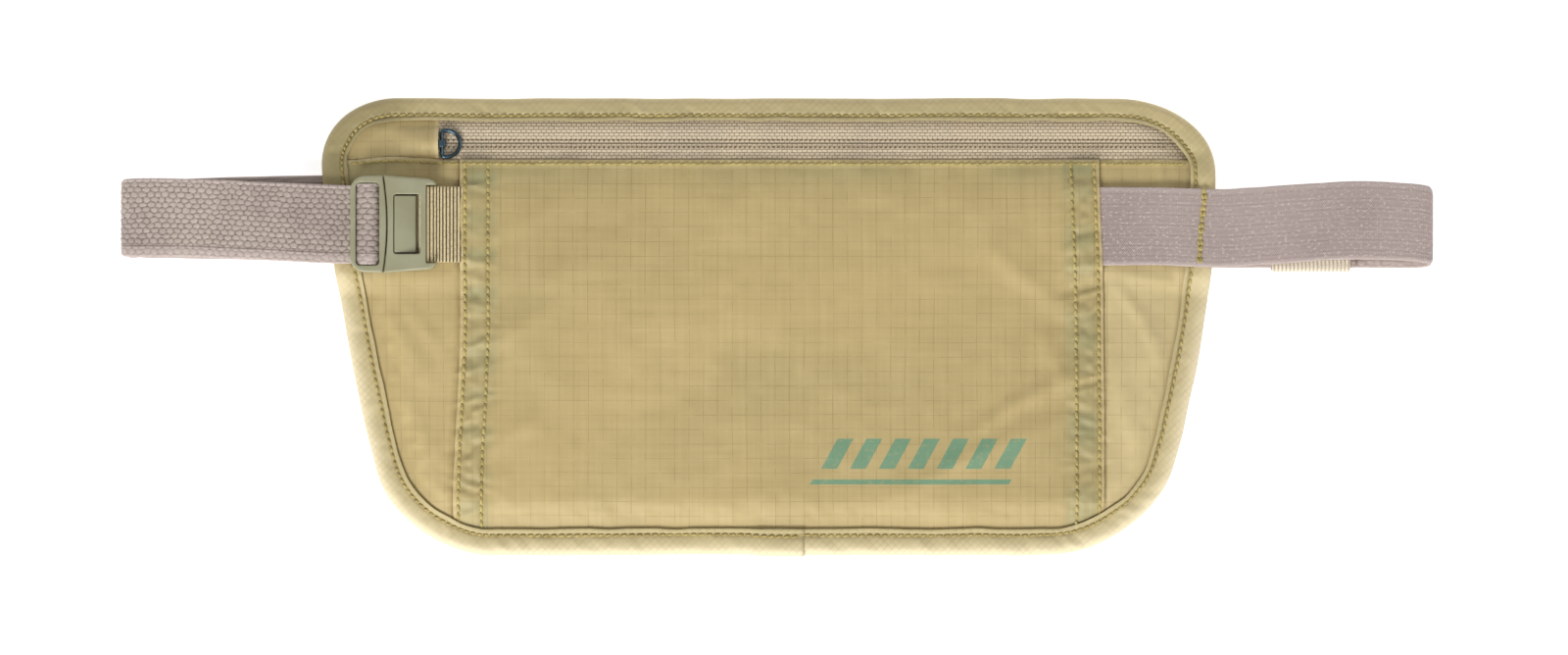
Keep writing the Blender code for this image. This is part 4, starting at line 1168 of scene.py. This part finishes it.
def build_ring():
    """D-shaped wire pull, with its straight side in the slider's eye."""
    half = RING_HALF_HEIGHT
    corner = 1.0
    straight = RING_REACH - half - RING_WIRE
    first = np.linspace(0.1, math.pi / 2, 6)
    last = np.linspace(0.0, math.pi / 2 - 0.1, 6)
    path = [(0.0, -half + corner), (0.0, half - corner)]
    path += [(corner - corner * math.cos(a), half - corner + corner * math.sin(a)) for a in first]
    path += [(straight + half * math.sin(a), half * math.cos(a)) for a in np.linspace(0.0, math.pi, 40)]
    path += [(corner - corner * math.sin(a), -half + corner - corner * math.cos(a)) for a in last]
    line = resample(np.array([*path, path[0]]), 0.22)[:-1]
    angle = np.linspace(0.0, FULL_TURN, 16, endpoint=False)
    reach = RING_WIRE * np.cos(angle)
    rise = RING_WIRE * np.sin(angle)
    outward = -outward_normals(line)  # this path runs clockwise
    flat = line[:, None, :] + outward[:, None, :] * reach[None, :, None]
    height = front_z(0.0, ZIP_Y) + 1.4
    x = RING_X + flat[..., 0] * math.cos(RING_TILT) + rise * math.sin(RING_TILT)
    z = height - flat[..., 0] * math.sin(RING_TILT) + rise * math.cos(RING_TILT)
    ring = loft("pull_ring_wire", GUNMETAL, np.stack([x, ZIP_Y + flat[..., 1], z], axis=-1), closed=True)
    settle(ring, "zip_pull_ring", "pull_ring")


# ---- elastic strap

# The strap's route as (x, y, z) points: from the right seam over the front, round the fold at the right end,
# behind the pouch, round the left end, through the buckle's adjuster and back on itself.
FRONT_RIGHT = (
    (100.5, 32.0, 7.7), (102.5, 32.0, 8.2), (105.5, 32.0, 8.75), (112.0, 32.0, 8.9), (121.0, 32.0, 8.9),
    (132.0, 31.6, 8.75), (142.0, 31.4, 8.5), (158.0, 32.4, 7.9), (182.0, 33.9, 7.1), (197.0, 33.6, 6.5),
    (205.0, 33.0, 6.0), (208.1, 32.4, 5.0), (208.9, 31.8, 3.85), (208.1, 31.5, 2.7), (205.0, 31.2, 1.8),
    (199.0, 31.2, 1.7),
)
REAR = (
    (170.0, 31.2, 1.7), (154.0, 31.2, 1.7), (150.5, 31.2, 1.6), (146.0, 31.2, 1.1), (141.5, 31.3, 0.65),
    (138.0, 31.4, 0.6), (60.0, 32.0, 0.6), (-40.0, 32.9, 0.6), (-97.0, 33.4, 0.6),
)
LEFT_LOOP = (
    (-120.0, 35.4, 0.6), (-150.0, 36.0, 0.6), (-175.0, 35.4, 0.6), (-190.0, 34.9, 0.6),
    (-203.0, 34.7, 0.75), (-207.6, 34.7, 1.9), (-208.9, 34.7, 3.9), (-207.9, 34.7, 6.0),
    (-204.0, 34.8, 7.7), (-190.0, 34.7, 8.9), (-165.0, 33.7, 9.9), (-145.0, 32.7, 10.3),
    (-137.0, 32.5, 10.3), (-134.6, 32.6, 10.3), (-133.2, 32.6, 10.65), (-132.45, 32.6, 11.5),
    (-132.2, 32.6, 12.5), (-131.4, 32.6, 13.25), (-130.1, 32.6, 13.45), (-128.8, 32.6, 13.25),
    (-128.0, 32.6, 12.5), (-127.75, 32.6, 11.1), (-128.3, 32.6, 9.6), (-130.0, 32.6, 8.95),
    (-137.0, 32.6, 8.8), (-145.0, 33.0, 8.7), (-165.0, 33.6, 8.2), (-190.0, 34.2, 7.2),
    (-202.5, 34.4, 6.1), (-205.6, 34.5, 5.1), (-206.6, 34.5, 3.9), (-205.6, 34.5, 2.8),
    (-202.5, 34.7, 2.2), (-190.0, 34.9, 2.1), (-150.0, 36.0, 2.1), (-120.0, 35.4, 2.1),
)
TAIL_END = (186.0, 31.2, 3.2)


def strap_stations():
    """Centres, normals and lengths along the strap, closer together where it bends or its knit shows."""
    tail = [(x, y, z + STRAP_THICK + GAP) for x, y, z in REAR[::-1]]
    dense = curve_through([*FRONT_RIGHT, *REAR, *LEFT_LOOP, *tail, TAIL_END], 60)
    run = lengths_along(dense)
    x = dense[:, 0]
    z = dense[:, 2]
    bend = np.abs(np.gradient(np.unwrap(np.arctan2(np.gradient(z), np.gradient(x))), run))
    chunky_shows = (x < -126.0) & (z > 5.0) & (np.gradient(x) > 0.0)
    step = np.where(chunky_shows, 0.34, 3.0)
    step = np.minimum(step, np.maximum(0.16 / np.maximum(bend, 1e-4), 0.36))
    step = np.where((x > 100.0) & (z > 4.0), np.minimum(step, 1.5), step)
    step = np.where((x > KEEPER_X[1]) & (z < 3.0), np.minimum(step, 0.7), step)
    tally = np.concatenate([[0.0], np.cumsum(np.diff(run) / step[1:])])
    at = np.interp(np.arange(0.0, tally[-1], 1.0), tally, run)
    centre = points_at(dense, run, at)
    return centre, upward_normals(centre), at, run[-1]


def chunky_cells(run, across):
    """Knitted pillows in rows, each row set half a pillow along from the last and every pillow a little off.

    Returns how far a point stands in from the joint round its pillow, in mm, and the pillow's own shade.
    """
    row = np.floor(across / PILLOW_HEIGHT)
    nearest = np.full(run.shape, 1e9)
    second = np.full(run.shape, 1e9)
    shade = np.zeros(run.shape)
    for row_step in (-1, 0, 1):
        this_row = row + row_step
        offset = 0.5 * (this_row % 2)
        cell = np.floor(run / PILLOW_LENGTH - offset)
        for step in (-1, 0, 1):
            number = cell + step
            jitter = [np.modf(np.abs(np.sin(number * a + this_row * b)) * 4375.5)[0] for a, b in CELL_SEEDS]
            middle_u = (number + offset + 0.5 + 0.34 * (jitter[0] - 0.5)) * PILLOW_LENGTH
            middle_v = (this_row + 0.5 + 0.4 * (jitter[1] - 0.5)) * PILLOW_HEIGHT
            gap = np.hypot((run - middle_u) * (PILLOW_HEIGHT / PILLOW_LENGTH) * 1.08, across - middle_v)
            closer = gap < nearest
            second = np.where(closer, nearest, np.minimum(second, gap))
            shade = np.where(closer, jitter[2], shade)
            nearest = np.where(closer, gap, nearest)
    return (second - nearest) / 2.0, shade


def build_strap():
    centre, normal, run, length = strap_stations()
    u, v = np.meshgrid(run, np.linspace(-12.4, 12.4, 71), indexing="ij")
    # The chunky face is the strap's inner one up to the middle of its rear run, and its outer one from there.
    rear_middle = run[np.argmin(np.abs(centre[:, 0]) + 100.0 * (centre[:, 2] > 1.0))]
    outer_chunky = smooth((u - rear_middle) / 20.0 + 0.5)

    inside_joint, shade = chunky_cells(u, v)
    border = smooth((GROOVE_V - 0.1 - v) / 0.4)
    joint = bell(inside_joint, 0.13) * (1.0 - 0.6 * border)
    ribs = 0.07 * np.cos(FULL_TURN * u) * smooth((np.abs(v) - 11.2) / 0.4)
    grooves = -0.14 * bell(v - GROOVE_V, 0.3) - 0.1 * bell(v - 11.0, 0.3)
    chunky = 0.24 * smooth(inside_joint / 0.3) - 0.12 + 0.05 * (shade - 0.5) + grooves + ribs
    fine = 0.025 * np.cos(FULL_TURN * v / 1.6) + ribs + 0.05 * noise(u, v, 3.0, 72)

    near_bar = smooth((centre[:, 0] + 134.2) / 0.8) * (centre[:, 0] < -120.0) * smooth(centre[:, 2] - 10.0)
    over_bar = (0.72 + 0.3 * np.abs(normal[:, 0])) * near_bar
    level = STRAP_THICK / 2.0 - 0.05 - 0.28 * np.clip((np.abs(v) - 11.9) / 0.5, 0.0, 1.0) ** 2
    upper = level + chunky * outer_chunky + fine * (1.0 - outer_chunky) + over_bar[:, None]
    lower = level + chunky * (1.0 - outer_chunky) + fine * outer_chunky

    reach = np.abs(centre[:, 0]) + STRAP_THICK / 2.0 * np.abs(normal[:, 0])
    into_corner = np.clip(reach - TIP_X + TIP_CORNER, 0.0, TIP_CORNER)
    pinch = TIP_CORNER - np.sqrt(TIP_CORNER**2 - (0.98 * into_corner) ** 2)
    widening = 0.1 * noise(run, 0.0, 5.0, 73) - pinch + 0.6 * over_bar
    spread = v * (1.0 + widening[:, None] / (STRAP_WIDTH / 2.0))

    def face(rise, sign):
        spot = centre[:, None, :] + sign * normal[:, None, :] * rise[:, :, None]
        spot[..., 1] += spread
        return spot

    rings = np.concatenate([face(upper, 1.0), face(lower, -1.0)[:, ::-1]], axis=1)
    rings[..., 2] = np.maximum(rings[..., 2], 0.02)
    marks = [np.stack([u, v, chunky_here], axis=-1) for chunky_here in (outer_chunky, 1.0 - outer_chunky)]
    dark = np.clip(joint + 0.8 * bell(v - GROOVE_V, 0.28), 0.0, 1.0)
    tone = np.stack([dark, shade, border], axis=-1)
    strap = loft(
        "elastic_strap", ELASTIC, rings, np.concatenate([marks[0], marks[1][:, ::-1]], axis=1),
        tone=np.concatenate([tone, tone[:, ::-1]], axis=1),
    )
    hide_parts("waist_strap", "strap_loop_left", "strap_tail")
    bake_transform(strap)


def over_strap(x, _y):
    """Height of the right strap's upper face, where it is sewn down over the binding."""
    return np.interp(x, [130.0, 140.0], [9.35, 9.15])


def build_strap_stitches():
    """The tack that holds the strap to the pouch's edge: two rows that cross in a loose zigzag."""
    y = np.linspace(*TACK_Y, 60)
    rows = []
    for shift in (-0.3, 0.3):
        wobble = 0.4 * np.sin(y * 2.2 + shift * 4.0) + 0.3 * noise(y, shift, 3.0, 74)
        line = np.column_stack([TACK_X - 0.07 * (44.0 - y) + shift + wobble, y])
        rows.append(stitch_row(line, over_strap, 0.0, pitch=2.1, share=1.12))
    stitches("strap_stitches", rows, SEWING, radius=0.48)


# ---- tab, keeper and buckle


def build_tab():
    """Grosgrain loop from the seam round the housing's bar and back."""
    route = [
        (-99.6, 0.7), (-102.5, 1.05), (-107.0, 2.3), (-110.0, 4.2), (-112.3, 4.55), (-113.6, 4.0),
        (-113.9, 3.0), (-113.6, 2.0), (-112.3, 1.45), (-109.0, 0.9), (-103.5, 0.15), (-99.6, -0.05),
    ]
    dense = curve_through([(x, 0.0, BUCKLE_Z + z) for x, z in route], 40)
    run = lengths_along(dense)
    at = np.arange(0.0, run[-1], TAB_RIB / 10.0)
    centre = points_at(dense, run, at)
    normal = -upward_normals(centre)  # the path runs left on the upper layer, so these point outwards
    u, v = np.meshgrid(at, np.concatenate([[-12.0], np.linspace(-11.8, 11.8, 41), [12.0]]), indexing="ij")
    ridge = 0.15 * np.abs(np.sin(math.pi * u / TAB_RIB)) ** 0.7
    lump = 0.03 * np.cos(FULL_TURN * v / 1.18) + 0.05 * noise(u, v, 2.0, 81)
    rise = 0.3 + ridge + lump - 0.25 * np.clip((np.abs(v) - 11.6) / 0.4, 0.0, 1.0) ** 2
    selvedge = 0.12 * np.sin(FULL_TURN * u / TAB_RIB) * np.sign(v) * (np.abs(v) > 11.7)

    def face(sign):
        spot = centre[:, None, :] + sign * normal[:, None, :] * rise[:, :, None]
        spot[..., 1] += BUCKLE_Y + v + selvedge
        return spot

    rings = np.concatenate([face(1.0), face(-1.0)[:, ::-1]], axis=1)
    marks = np.stack([u, v, 0.0 * u], axis=-1)
    tab = loft("tab_webbing", GROSGRAIN, rings, np.concatenate([marks, marks[:, ::-1]], axis=1))
    settle(tab, "webbing_tab")


def build_keeper():
    """Elastic sleeve round the strap and its loose end, knitted in short ribs."""
    side = KEEPER_HALF_WIDTH - KEEPER_CORNER
    top = KEEPER_HEIGHT - KEEPER_CORNER
    outline = []
    for cy, cz, first in (
        (side, top, 0.0), (-side, top, 90.0), (-side, KEEPER_CORNER, 180.0), (side, KEEPER_CORNER, 270.0),
    ):
        for angle in np.radians(first + 15.0 * np.arange(7)):
            outline.append((cy + KEEPER_CORNER * math.cos(angle), cz + KEEPER_CORNER * math.sin(angle)))
    line = resample(np.array([*outline, outline[0]]), KEEPER_STEP)[:-1]
    outward = outward_normals(line)
    run = np.arange(len(line)) * KEEPER_STEP
    u, w = np.meshgrid(np.arange(KEEPER_X[0], KEEPER_X[1] + 0.01, 0.2), run, indexing="ij")
    row = np.floor(w / KEEPER_ROW)
    ridge = 0.2 * np.abs(np.sin(math.pi * (u / KEEPER_RIB + 0.5 * (row % 2)))) ** 0.8
    ridge = ridge * (0.7 + 0.3 * np.abs(np.sin(math.pi * w / KEEPER_ROW)))
    ends = np.clip(np.maximum(KEEPER_X[0] + 0.5 - u, u - KEEPER_X[1] + 0.5) / 0.5, 0.0, 1.0)

    def skin(reach):
        spot = line[None, :, :] + outward[None, :, :] * reach[:, :, None]
        return np.stack([u, KEEPER_Y + spot[..., 0], np.maximum(spot[..., 1], 0.02)], axis=-1)

    outer = skin(ridge - 0.15 - 0.2 * ends**2)
    inner = skin(np.full_like(u, -0.75))
    marks = np.stack([u, w, 0.0 * u], axis=-1)
    sleeve = loft(
        "keeper_sleeve", KEEPER, np.concatenate([outer, inner[::-1]]), np.concatenate([marks, marks[::-1]]),
        closed=True,
    )
    settle(sleeve, "strap_keeper", "keeper")


def soften_solids():
    """The buckle's and the slider's solids keep their shape, with edges softened as moulding leaves them."""
    for name, mat, cell in (
        ("buckle_housing", PLASTIC, 0.18), ("buckle_frame", PLASTIC, 0.18), ("buckle_latch", PLASTIC, 0.15),
        ("zip_slider", GUNMETAL, 0.13),
    ):
        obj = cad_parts[name]
        if not obj.material_slots:
            obj.data.materials.append(mat)
        for slot in obj.material_slots:
            slot.material = mat
        remesh = obj.modifiers.new("Even skin", "REMESH")
        remesh.mode = "VOXEL"
        remesh.voxel_size = cell * MM
        remesh.use_smooth_shade = True
        soften = obj.modifiers.new("Soft edges", "SMOOTH")
        soften.factor = 0.5
        soften.iterations = 6


# ---- stage, light and camera


def white_card(name, glow):
    """Matt white that also glows a little, so that shadows on it stay faint."""
    look = Look(name, 0.9, Specular_IOR_Level=0.0, Emission_Strength=glow)
    look.shader.inputs["Base Color"].default_value = (0.82, 0.82, 0.83, 1.0)
    look.shader.inputs["Emission Color"].default_value = (1.0, 1.0, 1.0, 1.0)
    return look.material


def stage_piece(name, glow):
    """The mesh that was added last becomes a white piece of the stage."""
    piece = bpy.context.object
    piece.name = name
    piece.data.materials.append(white_card(name, glow))


def build_stage():
    bpy.ops.mesh.primitive_circle_add(
        vertices=64, radius=BACKDROP_RADIUS, fill_type="NGON", location=(0.0, 0.0, -0.0001)
    )
    stage_piece("floor", FLOOR_GLOW)
    bpy.ops.mesh.primitive_cylinder_add(
        vertices=64, radius=BACKDROP_RADIUS, depth=BACKDROP_HEIGHT, end_fill_type="NOTHING",
        location=(0.0, 0.0, BACKDROP_HEIGHT / 2.0 - 0.01),
    )
    stage_piece("backdrop", BACKDROP_GLOW)


def build_lights():
    world = bpy.data.worlds.new("studio")
    bpy.context.scene.world = world
    world.use_nodes = True
    background = world.node_tree.nodes["Background"]
    background.inputs["Color"].default_value = (1.0, 1.0, 1.0, 1.0)
    background.inputs["Strength"].default_value = 0.3
    for name, place, size, energy in (
        ("key", (-0.45, -1.35, 1.15), 0.9, 29.8),
        ("side", (1.5, 0.1, 1.1), 0.8, 4.6),
        ("top", (0.0, 0.3, 2.2), 1.6, 4.6),
    ):
        light = bpy.data.lights.new(name, "AREA")
        light.size = size
        light.energy = energy
        lamp = bpy.data.objects.new(name, light)
        lamp.location = place
        direction = np.array(place) / np.linalg.norm(place)
        lamp.rotation_euler = (math.acos(direction[2]), 0.0, math.atan2(direction[0], -direction[1]))
        bpy.context.scene.collection.objects.link(lamp)


def build_camera():
    camera = bpy.data.cameras.new("camera")
    camera.lens = 100.0
    camera.sensor_width = 36.0
    view = bpy.data.objects.new("camera", camera)
    x, y, z = CAMERA_PLACE
    view.location = (x, y, z + VIEW_WIDTH * camera.lens / camera.sensor_width)
    bpy.context.scene.collection.objects.link(view)
    bpy.context.scene.camera = view
    bpy.context.scene.view_settings.view_transform = "Standard"


build_stage()
build_lights()
build_camera()
build_panels()
build_seam_stitches()
build_hem_stitches()
build_binding()
build_zip_tapes()
build_coils()
build_garage()
build_ring()
build_strap()
build_strap_stitches()
build_tab()
build_keeper()
soften_solids()
